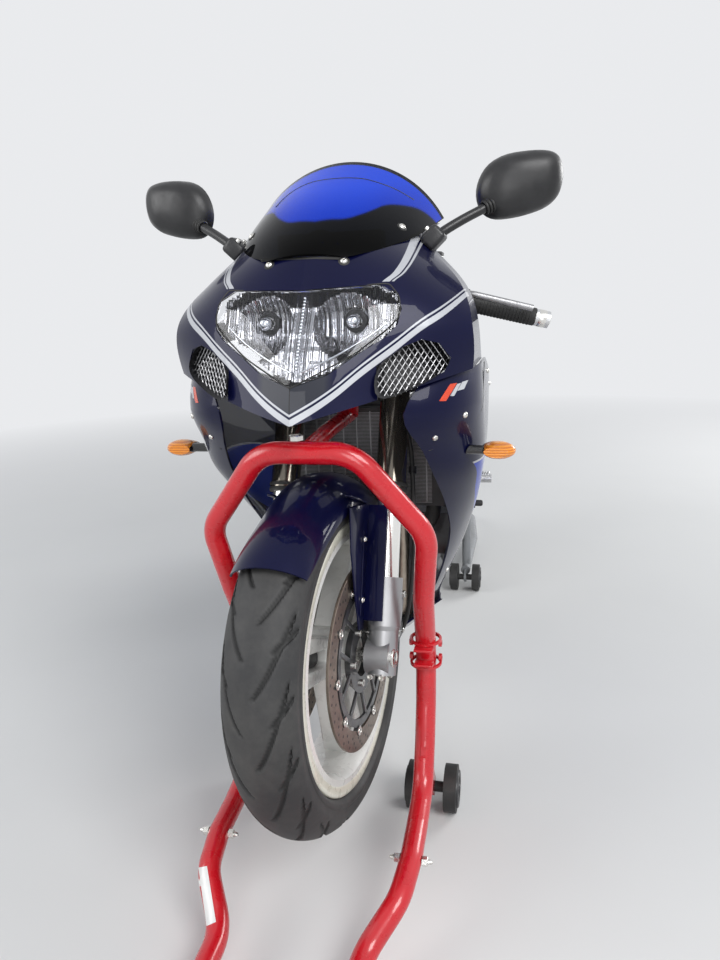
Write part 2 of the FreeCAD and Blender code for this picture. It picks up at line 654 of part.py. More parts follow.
def above_screen_foot(lift=0):
    foot_y, foot_z = SCREEN_FOOT
    points = [Vector(-300, foot_y - 200, foot_z + lift - 200 * SCREEN_SLOPE),
              Vector(-300, foot_y + 400, foot_z + lift + 400 * SCREEN_SLOPE),
              Vector(-300, foot_y + 400, 1400), Vector(-300, foot_y - 200, 1400)]
    return Part.Face(Part.makePolygon(points + [points[0]])).extrude(Vector(600, 0, 0))


nose_outer = nose_solid(0)
nose_shell = nose_outer.cut(nose_solid(v("panel_wall"), NOSE_REAR + 5))
nose = nose_shell.cut(below_lip()).cut(above_screen_foot())
nose = nose.cut(prism(shifted(LAMP, 2), -900, -690))
left_mesh = prism(INTAKE, -900, -640, both=False)
nose = nose.cut(left_mesh).cut(mirrored(left_mesh))
for side in (-1, 1):
    nose = nose.cut(cylinder_along((side * 150, HAND_NOTCH[0], HAND_NOTCH[1]), (side * 300, *HAND_NOTCH),
                                   HAND_NOTCH_RADIUS))
feature("nose_fairing", max(nose.Solids, key=lambda s: s.Volume))
lamp = nose_outer.common(prism(LAMP, -900, -690))
lamp = max(lamp.Solids, key=lambda s: s.Volume)
feature("headlamp", lamp)
mesh = nose_solid(v("panel_wall") + 0.3).cut(nose_solid(v("panel_wall") + 3)).common(prism(shifted(INTAKE, 6), -900, -640, both=False))
feature("intake_meshes", pair(max(mesh.Solids, key=lambda s: s.Volume)))

SCREEN_SECTIONS = [
    # y, half width, height of the crown over the edge
    (-712, 62, 8), (-620, 136, 56), (-520, 166, 86), (-430, 180, 108),
]


def screen_solid(inset):
    wires = []
    for y, half, crown in SCREEN_SECTIONS:
        edge = SCREEN_FOOT[1] + (y - SCREEN_FOOT[0]) * SCREEN_SLOPE + 0.3
        wires.append(closed_wire((-half + inset, y, edge), [
            ((0, y, edge + crown - inset), (half - inset, y, edge)), (half - inset, y, edge - 30),
            (-half + inset, y, edge - 30), (-half + inset, y, edge)]))
    return loft(wires)


screen = screen_solid(0).cut(screen_solid(3))
screen = screen.common(above_screen_foot(0.3))
feature("windscreen", max(screen.Solids, key=lambda s: s.Volume))

SIDE_SECTIONS = [
    # y, x and z at the top, half way down and at the bottom
    (-640, 244, 868, 244, 790, 205, 690),
    (-540, 254, 866, 262, 740, 206, 600),
    (-430, 250, 856, 256, 690, 190, 470),
    (-250, 240, 826, 242, 610, 150, 310),
    (-60, 226, 800, 226, 570, 130, 290),
    (90, 214, 750, 212, 620, 150, 440),
]


def side_panel(inset):
    wires = []
    for y, top_x, top_z, mid_x, mid_z, low_x, low_z in SIDE_SECTIONS:
        top_x, mid_x, low_x = top_x - inset, mid_x - inset, low_x - inset
        wires.append(closed_wire((top_x, y, top_z), [
            ((mid_x, y, mid_z), (low_x, y, low_z)), (low_x - 200, y, low_z), (low_x - 200, y, top_z),
            (top_x, y, top_z)]))
    return loft(wires)


side = side_panel(0).cut(side_panel(v("panel_wall")))
side = max(side.Solids, key=lambda s: s.Volume)
side = side.cut(nose_solid(-0.5, NOSE_REAR + 0.5))
side = max(side.Solids, key=lambda s: s.Volume)
feature("side_fairing_left", side)
feature("side_fairing_right", mirrored(side))

BELLY_SECTIONS = [
    # y, half width at the top, height of the top, half width at the bottom, height of the bottom
    (-330, 158, 330, 60, 250), (-150, 138, 290, 80, 205), (60, 132, 292, 84, 205), (170, 110, 280, 70, 215),
]


def belly_solid(inset):
    wires = []
    for y, top, top_z, low, low_z in BELLY_SECTIONS:
        top, low, low_z = top - inset, low - inset, low_z + inset
        wires.append(closed_wire((-top, y, top_z), [
            (-low, y, low_z), (low, y, low_z), (top, y, top_z), (-top, y, top_z)]))
    return loft(wires)


belly = belly_solid(0).cut(belly_solid(v("panel_wall")))
side_room = side_panel(-0.5)
belly = belly.cut(side_room).cut(mirrored(side_room))
feature("belly_pan", max(belly.Solids, key=lambda s: s.Volume))

TANK_SECTIONS = [
    # y, half width and height low down, half width and height of the shoulder, height of the top
    (-332, 100, 930, 70, 985, 1000), (-250, 146, 905, 118, 1000, 1032), (-110, 170, 850, 140, 995, 1040),
    (20, 158, 822, 118, 975, 1020), (105, 116, 845, 84, 925, 960),
]


def rounded_section(y, low_x, low_z, mid_x, mid_z, top_z):
    return closed_wire((-low_x, y, low_z), [
        (-mid_x, y, mid_z), ((0, y, top_z), (mid_x, y, mid_z)), (low_x, y, low_z), (-low_x, y, low_z)])


def rounded_loft(rows, grow=0):
    return loft([rounded_section(y, low_x + grow, low_z - grow, mid_x + grow, mid_z + grow, top_z + grow)
                 for y, low_x, low_z, mid_x, mid_z, top_z in rows])


spar_room = spar(2)
tank = rounded_loft(TANK_SECTIONS).cut(spar_room).cut(mirrored(spar_room))
tank = tank.cut(cylinder_along(head_point(HEAD_LOW), head_point(HEAD_HIGH + 40), v("head_tube_radius") + 3))
tank = max(tank.Solids, key=lambda s: s.Volume)
feature("fuel_tank", tank)
SEAT_SECTIONS = [
    (112, 112, 842, 84, 872, 884), (220, 130, 850, 108, 878, 892), (330, 124, 858, 100, 890, 906),
    (420, 110, 872, 88, 926, 944),
]
PILLION_SECTIONS = [
    (424, 96, 932, 78, 962, 976), (530, 92, 940, 74, 985, 1000), (640, 74, 952, 58, 995, 1006),
]
TAIL_SECTIONS = [
    (112, 118, 800, 116, 838, 841), (300, 134, 812, 130, 850, 853), (440, 122, 836, 112, 925, 930),
    (650, 98, 880, 84, 945, 950), (820, 66, 920, 50, 985, 995), (900, 40, 950, 30, 985, 990),
]
feature("rider_seat", rounded_loft(SEAT_SECTIONS))
pillion = rounded_loft(PILLION_SECTIONS).cut(rounded_loft(SEAT_SECTIONS, 0.5))
feature("pillion_seat", max(pillion.Solids, key=lambda s: s.Volume))
tail = rounded_loft(TAIL_SECTIONS).cut(rounded_loft(SEAT_SECTIONS, 0.4)).cut(rounded_loft(PILLION_SECTIONS, 0.4))
tail = max(tail.Solids, key=lambda s: s.Volume)
feature("tail_fairing", tail)
feature("tail_lamp", box_between((-34, 900.3, 952), (34, 916, 982)))
FENDER_HALF = 60
fender = [(690, 930), (775, 930), (1000, 700), (1035, 560), (1028, 556), (990, 692), (755, 868), (690, 868)]
fender_face = Part.Face(Part.makePolygon([Vector(-FENDER_HALF, y, z) for y, z in fender + [fender[0]]]))
fender_solid = fender_face.extrude(Vector(2 * FENDER_HALF, 0, 0)).cut(rounded_loft(TAIL_SECTIONS, 0.3))
feature("rear_mudguard", max(fender_solid.Solids, key=lambda s: s.Volume))


def ellipse_wire(centre, half_x, half_z):
    """An upright ellipse facing along Y."""
    wide = half_x >= half_z
    major, minor = (half_x, half_z) if wide else (half_z, half_x)
    ellipse = Part.Ellipse(Vector(), major, minor)
    wire = Part.Wire([ellipse.toShape()])
    wire.rotate(Vector(), Vector(1, 0, 0), 90)
    if not wide:
        wire.rotate(Vector(), Vector(0, 1, 0), 90)
    wire.translate(centre)
    return wire


def oval_loft(rows):
    """A rounded body through ellipses: x, y, z, half width, half height."""
    return loft([ellipse_wire(Vector(x, y, z), half_x, half_z) for x, y, z, half_x, half_z in rows])


def rear_indicator():
    stalk = cylinder_along((FENDER_HALF + 0.3, 816, 838), (78, 816, 838), 7)
    lens = oval_loft([(98, 800, 838, 20, 9), (100, 814, 838, 26, 14), (98, 834, 838, 22, 11)])
    return fused([stalk, lens])


feature("rear_indicators", pair(rear_indicator()))

MIRROR_STALK = [(188, -548, 1087), (228, -524, 1112), (290, -490, 1150)]


def mirror():
    foot = cylinder_along((166, -545, 1070), (192, -548, 1090), 15)
    stalk = tube(MIRROR_STALK, 8, 20)
    head = oval_loft([(0, -26, 0, 44, 24), (0, -15, 0, 60, 38), (0, 3, 0, 66, 43)])
    head.rotate(Vector(), Vector(0, 1, 0), -18)
    head.translate(Vector(322, -480, 1168))
    whole = fused([foot, stalk, head]).cut(nose_solid(-0.3))
    return max(whole.Solids, key=lambda s: s.Volume)


feature("mirrors", pair(mirror()))


def indicator():
    stalk = cylinder_along((215, -618, 733), (264, -618, 733), 8).cut(side_panel(-0.3))
    stalk = max(stalk.Solids, key=lambda s: s.CenterOfMass.x)
    body = oval_loft([(284, -636, 732, 20, 9), (288, -618, 732, 28, 15), (280, -598, 732, 22, 11)])
    return fused([stalk, body])


feature("front_indicators", pair(indicator()))


def fairing_stay():
    """The tube frame on the steering head that carries the nose, lamp and instruments."""
    beam = box_between((-16, -689.7, 925), (16, -440, 957))
    cross = cylinder_along((-300, -610, 945), (300, -610, 945), 9)
    cross = cross.common(nose_solid(v("panel_wall") + 0.3))
    post = box_between((-20, -560, 950), (20, -540, 1029.7))
    head = cylinder_along(head_point(0), head_point(900), v("head_tube_radius") + 0.3)
    return fused([beam, cross, post]).cut(head)


stay = fairing_stay()
feature("fairing_stay", max(stay.Solids, key=lambda s: s.Volume))
feature("instrument_panel", box_between((-90, -575, 1030), (90, -530, 1096)))


def footrest():
    plate = box_between((150.3, 120, 420), (158, 320, 520))
    peg = cylinder_along((158, 215, 470), (238, 215, 470), 12)
    return fused([plate, peg])


feature("footrests", pair(footrest()))
SILENCER_FRONT = Vector(-186, 345, 412)
SILENCER_REAR = Vector(-216, 815, 586)
silencer_line = (SILENCER_REAR - SILENCER_FRONT).normalize()
feature("silencer", cylinder_along(SILENCER_FRONT, SILENCER_REAR, 52))


def exhaust_pipes():
    """Four header pipes that join under the engine, and the link pipe to the silencer."""
    headers = [tube([(x, ENGINE_FRONT - 0.3, 560), (x, -338, 560), (x, -352, 470), (x * 0.85, -330, 300),
                     (x * 0.6, -200, 252)], 17, 45) for x in (-72, -24, 24, 72)]
    joint_box = box_between((-66, -215, 232), (66, -150, 274))
    link_pipe = tube([Vector(0, -160, 252), Vector(0, 20, 250), Vector(-120, 190, 330),
                      SILENCER_FRONT - silencer_line * 80, SILENCER_FRONT - silencer_line * 0.3], 24, 80)
    return fused(headers + [joint_box, link_pipe])


feature("exhaust_pipes", exhaust_pipes())

# Stands

LEG = v("stand_leg_spacing")
STAND_HOOP = [(LEG + 5, -705, 495), (LEG + 18, -740, 620), (76, -770, 758)]
LEG_PATH = [(LEG, -650, 375), (LEG, -662, 280), (LEG, -684, 212), (LEG, -719, 139), (LEG, -793, 122),
            (LEG, -860, 115), (LEG - 8, -925, 100), (112, -988, 52), (110, -1250, 40)]
ROLLER_AXLE_Y = -590


def flipped(points):
    return [(-x, y, z) for x, y, z in reversed(points)]


hoop = tube(list(reversed(LEG_PATH)) + STAND_HOOP + flipped(STAND_HOOP) + flipped(list(reversed(LEG_PATH))),
            v("stand_tube_radius"), 70)
crossbar = cylinder_along((-110, -1240, 40.5), (110, -1240, 40.5), 14)
roller_z = v("roller_radius")


def roller_bracket(x, y, tube_y, tube_z):
    """A plate from the stand's tube to the roller spindle."""
    plate = link_plate(x, 8, (y, roller_z), 17, (tube_y, tube_z), 22)
    return plate.cut(cylinder_along((x - 20, y, roller_z), (x + 20, y, roller_z), v("spool_radius") + 0.3))


front_bracket = roller_bracket(LEG, ROLLER_AXLE_Y, -690, 195)
feature("front_stand", fused([hoop, crossbar, front_bracket, mirrored(front_bracket)]))


def roller_pair(name):
    half = v("roller_gap") / 2
    width = v("roller_width")
    radius = v("roller_radius")
    return revolved_body(name, [
        (f"-roller_gap / 2 - roller_width", "4"), ("roller_gap / 2 + roller_width", "4"),
        ("roller_gap / 2 + roller_width", "roller_radius"), ("roller_gap / 2", "roller_radius"),
        ("roller_gap / 2", "spool_radius"), ("-roller_gap / 2", "spool_radius"),
        ("-roller_gap / 2", "roller_radius"), ("-roller_gap / 2 - roller_width", "roller_radius")])


REAR_ROLLER = (138, 500)
for side_name, sign in (("left", 1), ("right", -1)):
    node(roller_pair("FrontRollers" + side_name.title()), "front_stand_rollers_" + side_name,
         Placement(Vector(sign * LEG, ROLLER_AXLE_Y, roller_z), Rotation()))
    node(roller_pair("RearRollers" + side_name.title()), "rear_stand_rollers_" + side_name,
         Placement(Vector(sign * REAR_ROLLER[0], REAR_ROLLER[1], roller_z), Rotation()))

pin_top = head_point(v("bottom_yoke_height") + 30)
pin_foot = head_point(v("bottom_yoke_height") - 40)
pin = cylinder_along(pin_foot, pin_top, v("stem_bore") - 0.5)
collar = cylinder_along(pin_foot, head_point(v("bottom_yoke_height") - 8), 20)
beam = tube([(0, pin_foot.y + 14, pin_foot.z), (0, -640, 768), (0, -751.6, 760)], 14, 40)
feature("stand_head_pin", fused([pin, collar, beam]))

def rear_stand():
    """A lever frame with uprights under the swingarm, on its own rollers."""
    upright = tube([(137, 560, 58), (137, 578, 190), (137, 582, 302)], 15, 60)
    half = [(137, 520, 62), (137, 900, 48), (104, 1234, 38)]
    lever = tube(half + flipped(half), 16, 60)
    bracket = roller_bracket(REAR_ROLLER[0], REAR_ROLLER[1], 560, 60)
    return fused([lever, upright, mirrored(upright), bracket, mirrored(bracket)])


feature("rear_stand", rear_stand())
pad = box_between((119, 552, 303.5), (158, 610, 378)).cut(arm_solid)
feature("stand_pads", pair(max(pad.Solids, key=lambda s: s.Volume)))


SIDE_STAND_PIVOT = Vector(136, 62, 335)
SIDE_STAND_FOLDED = Vector(0.10, 0.99, 0.05).normalize()
SIDE_STAND_DOWN = Vector(0.30, -0.15, -0.94).normalize()
SIDE_STAND_AXIS = SIDE_STAND_FOLDED.cross(SIDE_STAND_DOWN).normalize()
SIDE_STAND_LENGTH = 285


def side_stand():
    """The folded leg with its eye and foot."""
    eye = cylinder_along(SIDE_STAND_PIVOT - SIDE_STAND_AXIS * 7, SIDE_STAND_PIVOT + SIDE_STAND_AXIS * 7, 14)
    foot_point = SIDE_STAND_PIVOT + SIDE_STAND_FOLDED * SIDE_STAND_LENGTH
    leg = cylinder_along(SIDE_STAND_PIVOT + SIDE_STAND_FOLDED * 13.5, foot_point, 10)
    foot = box_between((-18, -12, -5), (18, 26, 5))
    foot.translate(foot_point)
    whole = fused([eye, leg, foot])
    return whole.cut(cylinder_along(SIDE_STAND_PIVOT - SIDE_STAND_AXIS * 40, SIDE_STAND_PIVOT + SIDE_STAND_AXIS * 40, 6.3))


def side_stand_bracket():
    """The plate on the frame whose pin carries the side stand."""
    pin = cylinder_along(SIDE_STAND_PIVOT - SIDE_STAND_AXIS * 12, SIDE_STAND_PIVOT + SIDE_STAND_AXIS * 17, 6)
    cheek = cylinder_along(SIDE_STAND_PIVOT + SIDE_STAND_AXIS * 7.5, SIDE_STAND_PIVOT + SIDE_STAND_AXIS * 16, 12)
    plate = link_plate(121, 4.6, (SIDE_STAND_PIVOT.y, SIDE_STAND_PIVOT.z), 13, (PIVOT.y + 4, PIVOT.z - 70), 22)
    foot = cylinder_along((118.7, PIVOT.y + 4, PIVOT.z - 70), (124, PIVOT.y + 4, PIVOT.z - 70), 16)
    return fused([pin, cheek, plate, foot]).cut(spar(0.02))


feature("side_stand", side_stand())
stand_bracket = side_stand_bracket()
feature("side_stand_bracket", max(stand_bracket.Solids, key=lambda s: s.Volume))

doc.recompute()

os.makedirs("parts", exist_ok=True)
for thing in doc.Objects:
    bad = [word for word in thing.State if word in ("Invalid", "Error")]
    if bad:
        raise RuntimeError(f"{thing.Name} failed: {bad}")
for thing in NODES:
    if thing.Shape.isNull() or not thing.Shape.isValid():
        raise RuntimeError(f"{thing.Label} has no valid shape")
    thing.Shape.exportStep(f"parts/{thing.Label}.step")
    print(thing.Label, len(thing.Shape.Solids), round(thing.Shape.Volume))
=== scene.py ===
# Looks of the sport bike on its two stands. Metres, +Z up, the rider's left is +X and the nose points to -Y.
import math
import random
import bmesh
import bpy
from mathutils import Matrix, Vector
from mathutils.bvhtree import BVHTree


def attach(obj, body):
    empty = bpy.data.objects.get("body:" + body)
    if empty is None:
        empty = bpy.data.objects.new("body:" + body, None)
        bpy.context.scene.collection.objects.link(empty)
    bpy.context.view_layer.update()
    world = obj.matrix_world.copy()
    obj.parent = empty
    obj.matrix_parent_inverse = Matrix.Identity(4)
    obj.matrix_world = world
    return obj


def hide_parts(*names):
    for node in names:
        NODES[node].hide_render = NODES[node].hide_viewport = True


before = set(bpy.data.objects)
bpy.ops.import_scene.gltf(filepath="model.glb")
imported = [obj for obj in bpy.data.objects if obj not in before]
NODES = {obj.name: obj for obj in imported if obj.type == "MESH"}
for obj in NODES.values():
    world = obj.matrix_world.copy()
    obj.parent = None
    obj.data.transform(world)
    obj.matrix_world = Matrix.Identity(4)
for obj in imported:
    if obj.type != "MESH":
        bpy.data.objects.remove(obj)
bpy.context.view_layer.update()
TURN = 2 * math.pi
MM = 0.001

# Camera of the photograph: place, then the angles that it is turned by
CAMERA_PLACE = Vector((0.3304, -1.7850, 0.9824))
CAMERA_YAW = math.radians(13.58)
CAMERA_PITCH = math.radians(-14.3)
CAMERA_ROLL = math.radians(-2.35)
SENSOR_WIDTH = 36.0
IMAGE_WIDTH, IMAGE_HEIGHT = 720, 960
FOCAL_PIXELS = 703.1

AHEAD = Vector((-math.sin(CAMERA_YAW) * math.cos(CAMERA_PITCH),
                math.cos(CAMERA_YAW) * math.cos(CAMERA_PITCH), math.sin(CAMERA_PITCH)))
LEVEL = Vector((math.cos(CAMERA_YAW), math.sin(CAMERA_YAW), 0))
UPRIGHT = LEVEL.cross(AHEAD)
CAMERA_RIGHT = math.cos(CAMERA_ROLL) * LEVEL + math.sin(CAMERA_ROLL) * UPRIGHT
CAMERA_UP = -math.sin(CAMERA_ROLL) * LEVEL + math.cos(CAMERA_ROLL) * UPRIGHT


def make_camera():
    camera = bpy.data.objects.new("camera", bpy.data.cameras.new("camera"))
    bpy.context.scene.collection.objects.link(camera)
    turn = Matrix((CAMERA_RIGHT, CAMERA_UP, -AHEAD)).transposed()
    camera.matrix_world = Matrix.Translation(CAMERA_PLACE) @ turn.to_4x4()
    camera.data.sensor_width = SENSOR_WIDTH
    camera.data.lens = FOCAL_PIXELS * SENSOR_WIDTH / IMAGE_HEIGHT
    camera.data.clip_start = 0.05
    bpy.context.scene.camera = camera


# The bike's own frames: both axles, the steering head and the turned front wheel

RAKE = math.radians(24)
STEER = math.radians(-6)
FORK_LINE = -34.3 * MM
FRONT_AXLE = Vector((0, -705, 385)) * MM
REAR_AXLE = Vector((0, 705, 365)) * MM
HEAD_AXIS = Vector((0, math.sin(RAKE), math.cos(RAKE)))
HEAD_POINT = FRONT_AXLE + Vector((0, math.cos(RAKE), -math.sin(RAKE))) * -FORK_LINE
HEAD = Matrix.Translation(HEAD_POINT) @ Matrix.Rotation(-RAKE, 4, "X") @ Matrix.Rotation(STEER, 4, "Z")
FRONT_WHEEL = HEAD @ Matrix.Translation((0, FORK_LINE, 0))
REAR_WHEEL = Matrix.Translation(REAR_AXLE)
PIVOT = Vector((0, 135, 462)) * MM


# Finishes


class Finish:
    """A node material whose helpers keep the node wiring short."""

    def __init__(self, name, color, roughness=0.5, metallic=0.0, **sockets):
        self.material = bpy.data.materials.new(name)
        self.material.use_nodes = True
        self.nodes = self.material.node_tree.nodes
        self.links = self.material.node_tree.links
        self.shader = self.nodes["Principled BSDF"]
        self.shader.inputs["Base Color"].default_value = (*color, 1)
        self.shader.inputs["Roughness"].default_value = roughness
        self.shader.inputs["Metallic"].default_value = metallic
        for socket, value in sockets.items():
            self.shader.inputs[socket.replace("_", " ")].default_value = value
        self.place = self.nodes.new("ShaderNodeTexCoord").outputs["Object"]

    def feed(self, node, inputs):
        for key, value in inputs.items():
            if isinstance(value, bpy.types.NodeSocket):
                self.links.new(value, node.inputs[key])
            elif value is not None:
                node.inputs[key].default_value = value
        return node

    def math(self, operation, first, second=None, third=None):
        node = self.nodes.new("ShaderNodeMath")
        node.operation = operation
        return self.feed(node, {0: first, 1: second, 2: third}).outputs[0]

    def axes(self):
        return self.feed(self.nodes.new("ShaderNodeSeparateXYZ"), {0: self.place}).outputs

    def noise(self, scale, detail=3.0, roughness=0.5, stretch=None):
        place = self.place
        if stretch is not None:
            mapping = self.nodes.new("ShaderNodeMapping")
            place = self.feed(mapping, {"Vector": place, "Scale": stretch}).outputs[0]
        node = self.nodes.new("ShaderNodeTexNoise")
        return self.feed(node, {"Vector": place, "Scale": scale, "Detail": detail,
                                "Roughness": roughness}).outputs["Fac"]

    def cells(self, scale):
        node = self.nodes.new("ShaderNodeTexVoronoi")
        return self.feed(node, {"Vector": self.place, "Scale": scale}).outputs

    def spread(self, value, low, high, to_low=0.0, to_high=1.0):
        node = self.nodes.new("ShaderNodeMapRange")
        return self.feed(node, {0: value, 1: low, 2: high, 3: to_low, 4: to_high}).outputs[0]

    def blend(self, share, first, second):
        node = self.nodes.new("ShaderNodeMix")
        node.data_type = "RGBA"
        first = first if isinstance(first, bpy.types.NodeSocket) else (*first, 1)
        second = second if isinstance(second, bpy.types.NodeSocket) else (*second, 1)
        return self.feed(node, {0: share, 6: first, 7: second}).outputs[2]

    def line(self, value, points):
        """A drawn line: the second number of the points over the first."""
        lows = [min(point[axis] for point in points) for axis in (0, 1)]
        highs = [max(point[axis] for point in points) for axis in (0, 1)]
        spans = [high - low for low, high in zip(lows, highs)]
        node = self.nodes.new("ShaderNodeFloatCurve")
        curve = node.mapping.curves[0]
        shares = [((a - lows[0]) / spans[0], (b - lows[1]) / spans[1]) for a, b in points]
        for share in shares[1:-1]:
            curve.points.new(*share)
        curve.points[0].location, curve.points[-1].location = shares[0], shares[-1]
        node.mapping.update()
        self.feed(node, {1: self.spread(value, lows[0], highs[0])})
        return self.spread(node.outputs[0], 0.0, 1.0, lows[1], highs[1])

    def between(self, value, low, high, soft=0.0003):
        """1 where the value lies between low and high, with a soft edge."""
        above = self.spread(value, low - soft, low + soft)
        below = self.spread(value, high - soft, high + soft, 1.0, 0.0)
        return self.math("MULTIPLY", above, below)

    def either(self, *shares):
        total = shares[0]
        for share in shares[1:]:
            total = self.math("MAXIMUM", total, share)
        return total

    def both(self, *shares):
        total = shares[0]
        for share in shares[1:]:
            total = self.math("MULTIPLY", total, share)
        return total

    def set(self, socket, value):
        self.links.new(value, self.shader.inputs[socket])

    def bump(self, height, strength, distance):
        node = self.nodes.new("ShaderNodeBump")
        self.feed(node, {"Height": height, "Strength": strength, "Distance": distance})
        self.set("Normal", node.outputs[0])


NAVY = (0.0022, 0.0028, 0.021)
NAVY_LIGHT = (0.0042, 0.0056, 0.046)
STRIPE_SILVER = (0.50, 0.51, 0.54)
CHIN_GREY = (0.030, 0.032, 0.042)
ROYAL_BLUE = (0.006, 0.030, 0.34)

# Height of the lower edge of the V stripe over the distance from the middle
V_STRIPE = [(0.0, 0.818), (0.05, 0.847), (0.10, 0.886), (0.14, 0.915), (0.175, 0.942), (0.21, 0.965),
            (0.24, 0.992)]
# Distance from the middle of the upper stripe over its height
UPPER_STRIPE = [(1.005, 0.125), (1.009, 0.128), (1.025, 0.143), (1.049, 0.151), (1.076, 0.1525),
                (1.10, 0.153)]


def paint_base(name, color=NAVY, light=NAVY_LIGHT):
    """Gloss metallic paint: fine flakes under a clear coat with a faint orange peel."""
    paint = Finish(name, color, roughness=0.34, metallic=0.1, Specular_IOR_Level=0.08,
                   Coat_Weight=0.7, Coat_Roughness=0.02, Coat_IOR=1.28)
    flakes = paint.spread(paint.cells(2600.0)["Color"], 0.45, 0.95)
    cloud = paint.noise(6.0)
    share = paint.math("MULTIPLY", paint.math("ADD", flakes, cloud), 0.5)
    return paint, paint.blend(share, color, light)


def navy_paint():
    paint, color = paint_base("navy gloss paint")
    paint.set("Base Color", color)
    paint.bump(paint.noise(220.0, 1.0), 0.02, 0.001)
    return paint.material


def nose_paint():
    """Navy with the twin silver stripes, the grey chin and its dark middle seam."""
    paint, color = paint_base("striped navy paint")
    x, y, z = paint.axes()
    away = paint.math("ABSOLUTE", x)
    over = paint.math("SUBTRACT", z, paint.line(away, V_STRIPE))
    ahead = paint.spread(y, -0.600, -0.602)
    v_stripe = paint.both(paint.either(paint.between(over, -0.008, 0.0022),
                                       paint.between(over, 0.006, 0.0095)),
                          ahead)
    beside = paint.math("SUBTRACT", away, paint.line(z, UPPER_STRIPE))
    upper = paint.either(paint.between(beside, -0.009, 0.0015), paint.between(beside, 0.0042, 0.0075))
    upper = paint.both(upper, paint.between(z, 1.0085, 1.083), paint.spread(y, -0.555, -0.557))
    chin = paint.both(paint.spread(over, 0.0095, 0.0115), paint.spread(away, 0.046, 0.060, 1.0, 0.0),
                      paint.between(z, 0.80, 0.91))
    seam = paint.both(chin, paint.spread(away, 0.0004, 0.0009, 1.0, 0.0))
    color = paint.blend(chin, color, CHIN_GREY)
    color = paint.blend(seam, color, (0.002, 0.002, 0.003))
    color = paint.blend(paint.either(v_stripe, upper), color, STRIPE_SILVER)
    paint.set("Base Color", color)
    paint.bump(paint.noise(220.0, 1.0), 0.02, 0.001)
    return paint.material


def side_paint():
    """Navy side fairing with its royal-blue lower sweep."""
    paint, color = paint_base("side fairing paint")
    x, y, z = paint.axes()
    top = paint.line(y, [(-0.62, 0.702), (-0.45, 0.700), (-0.20, 0.640), (0.05, 0.560), (0.20, 0.520)])
    low = paint.line(y, [(-0.62, 0.720), (-0.585, 0.700), (-0.50, 0.628), (-0.42, 0.575), (-0.20, 0.470),
                         (0.20, 0.440)])
    under = paint.math("SUBTRACT", z, top)
    above = paint.math("SUBTRACT", z, low)
    sweep = paint.both(paint.spread(under, 0.0005, -0.0005), paint.spread(above, -0.0005, 0.0005))
    edge = paint.both(paint.between(under, 0.0, 0.004), paint.spread(above, -0.001, 0.001))
    bright, light = ROYAL_BLUE, (0.012, 0.055, 0.50)
    blue = paint.blend(paint.noise(6.0), bright, light)
    color = paint.blend(sweep, color, blue)
    color = paint.blend(edge, color, STRIPE_SILVER)
    paint.set("Base Color", color)
    paint.bump(paint.noise(220.0, 1.0), 0.02, 0.001)
    return paint.material


def enamel(name, color, dirt, roughness=0.22):
    """Sprayed enamel over steel, a little dusty, with a soft ripple."""
    coat = Finish(name, color, roughness=roughness, Coat_Weight=0.6, Coat_Roughness=0.08)
    dust = coat.spread(coat.noise(14.0, 6.0, 0.7), 0.52, 0.80)
    coat.set("Base Color", coat.blend(dust, color, dirt))
    coat.set("Roughness", coat.spread(coat.noise(60.0), 0.3, 0.7, roughness, roughness + 0.16))
    coat.bump(coat.noise(160.0, 2.0), 0.06, 0.0008)
    return coat.material


def bare_metal(name, color, stain, roughness=0.3, grain=(1, 1, 1), metallic=1.0):
    """Alloy or steel with brushed or cast grain and light staining."""
    metal = Finish(name, color, roughness=roughness, metallic=metallic)
    patches = metal.spread(metal.noise(18.0, 5.0, 0.65), 0.42, 0.75)
    metal.set("Base Color", metal.blend(patches, color, stain))
    lines = metal.noise(260.0, 3.0, 0.6, stretch=grain)
    metal.set("Roughness", metal.spread(lines, 0.3, 0.7, roughness * 0.8, roughness * 1.35))
    metal.bump(lines, 0.10, 0.0006)
    return metal.material


def moulded(name, color, pale, roughness=0.5, grain=900.0):
    """Satin moulded plastic or rubber with a fine grain and a dusty bloom."""
    plastic = Finish(name, color, roughness=roughness)
    bloom = plastic.spread(plastic.noise(11.0, 6.0, 0.7), 0.45, 0.80)
    plastic.set("Base Color", plastic.blend(bloom, color, pale))
    plastic.set("Roughness", plastic.spread(plastic.noise(45.0), 0.3, 0.7, roughness - 0.08,
                                            roughness + 0.10))
    plastic.bump(plastic.cells(grain)["Distance"], 0.12, 0.0004)
    return plastic.material


def fork_metal():
    """Cast grey feet, bright inner tubes and dark outer tubes, parted by the height along the fork."""
    metal = Finish("fork leg metal", (0.5, 0.5, 0.5), roughness=0.3, metallic=0.85)
    x, y, z = metal.axes()
    along = metal.math("ADD", metal.math("MULTIPLY", y, HEAD_AXIS.y),
                       metal.math("MULTIPLY", z, HEAD_AXIS.z))
    start = HEAD_POINT.dot(HEAD_AXIS)
    tube = metal.between(along, start + 0.1352, start + 0.2848)
    outer = metal.spread(along, start + 0.2845, start + 0.2855)
    color = metal.blend(metal.noise(20.0, 5.0), (0.42, 0.42, 0.43), (0.30, 0.30, 0.31))
    color = metal.blend(tube, color, (0.86, 0.85, 0.82))
    color = metal.blend(outer, color, (0.20, 0.18, 0.15))
    metal.set("Base Color", color)
    metal.set("Roughness", metal.spread(metal.either(tube, outer), 0.0, 1.0, 0.42, 0.14))
    metal.bump(metal.noise(300.0, 3.0), 0.06, 0.0005)
    return metal.material


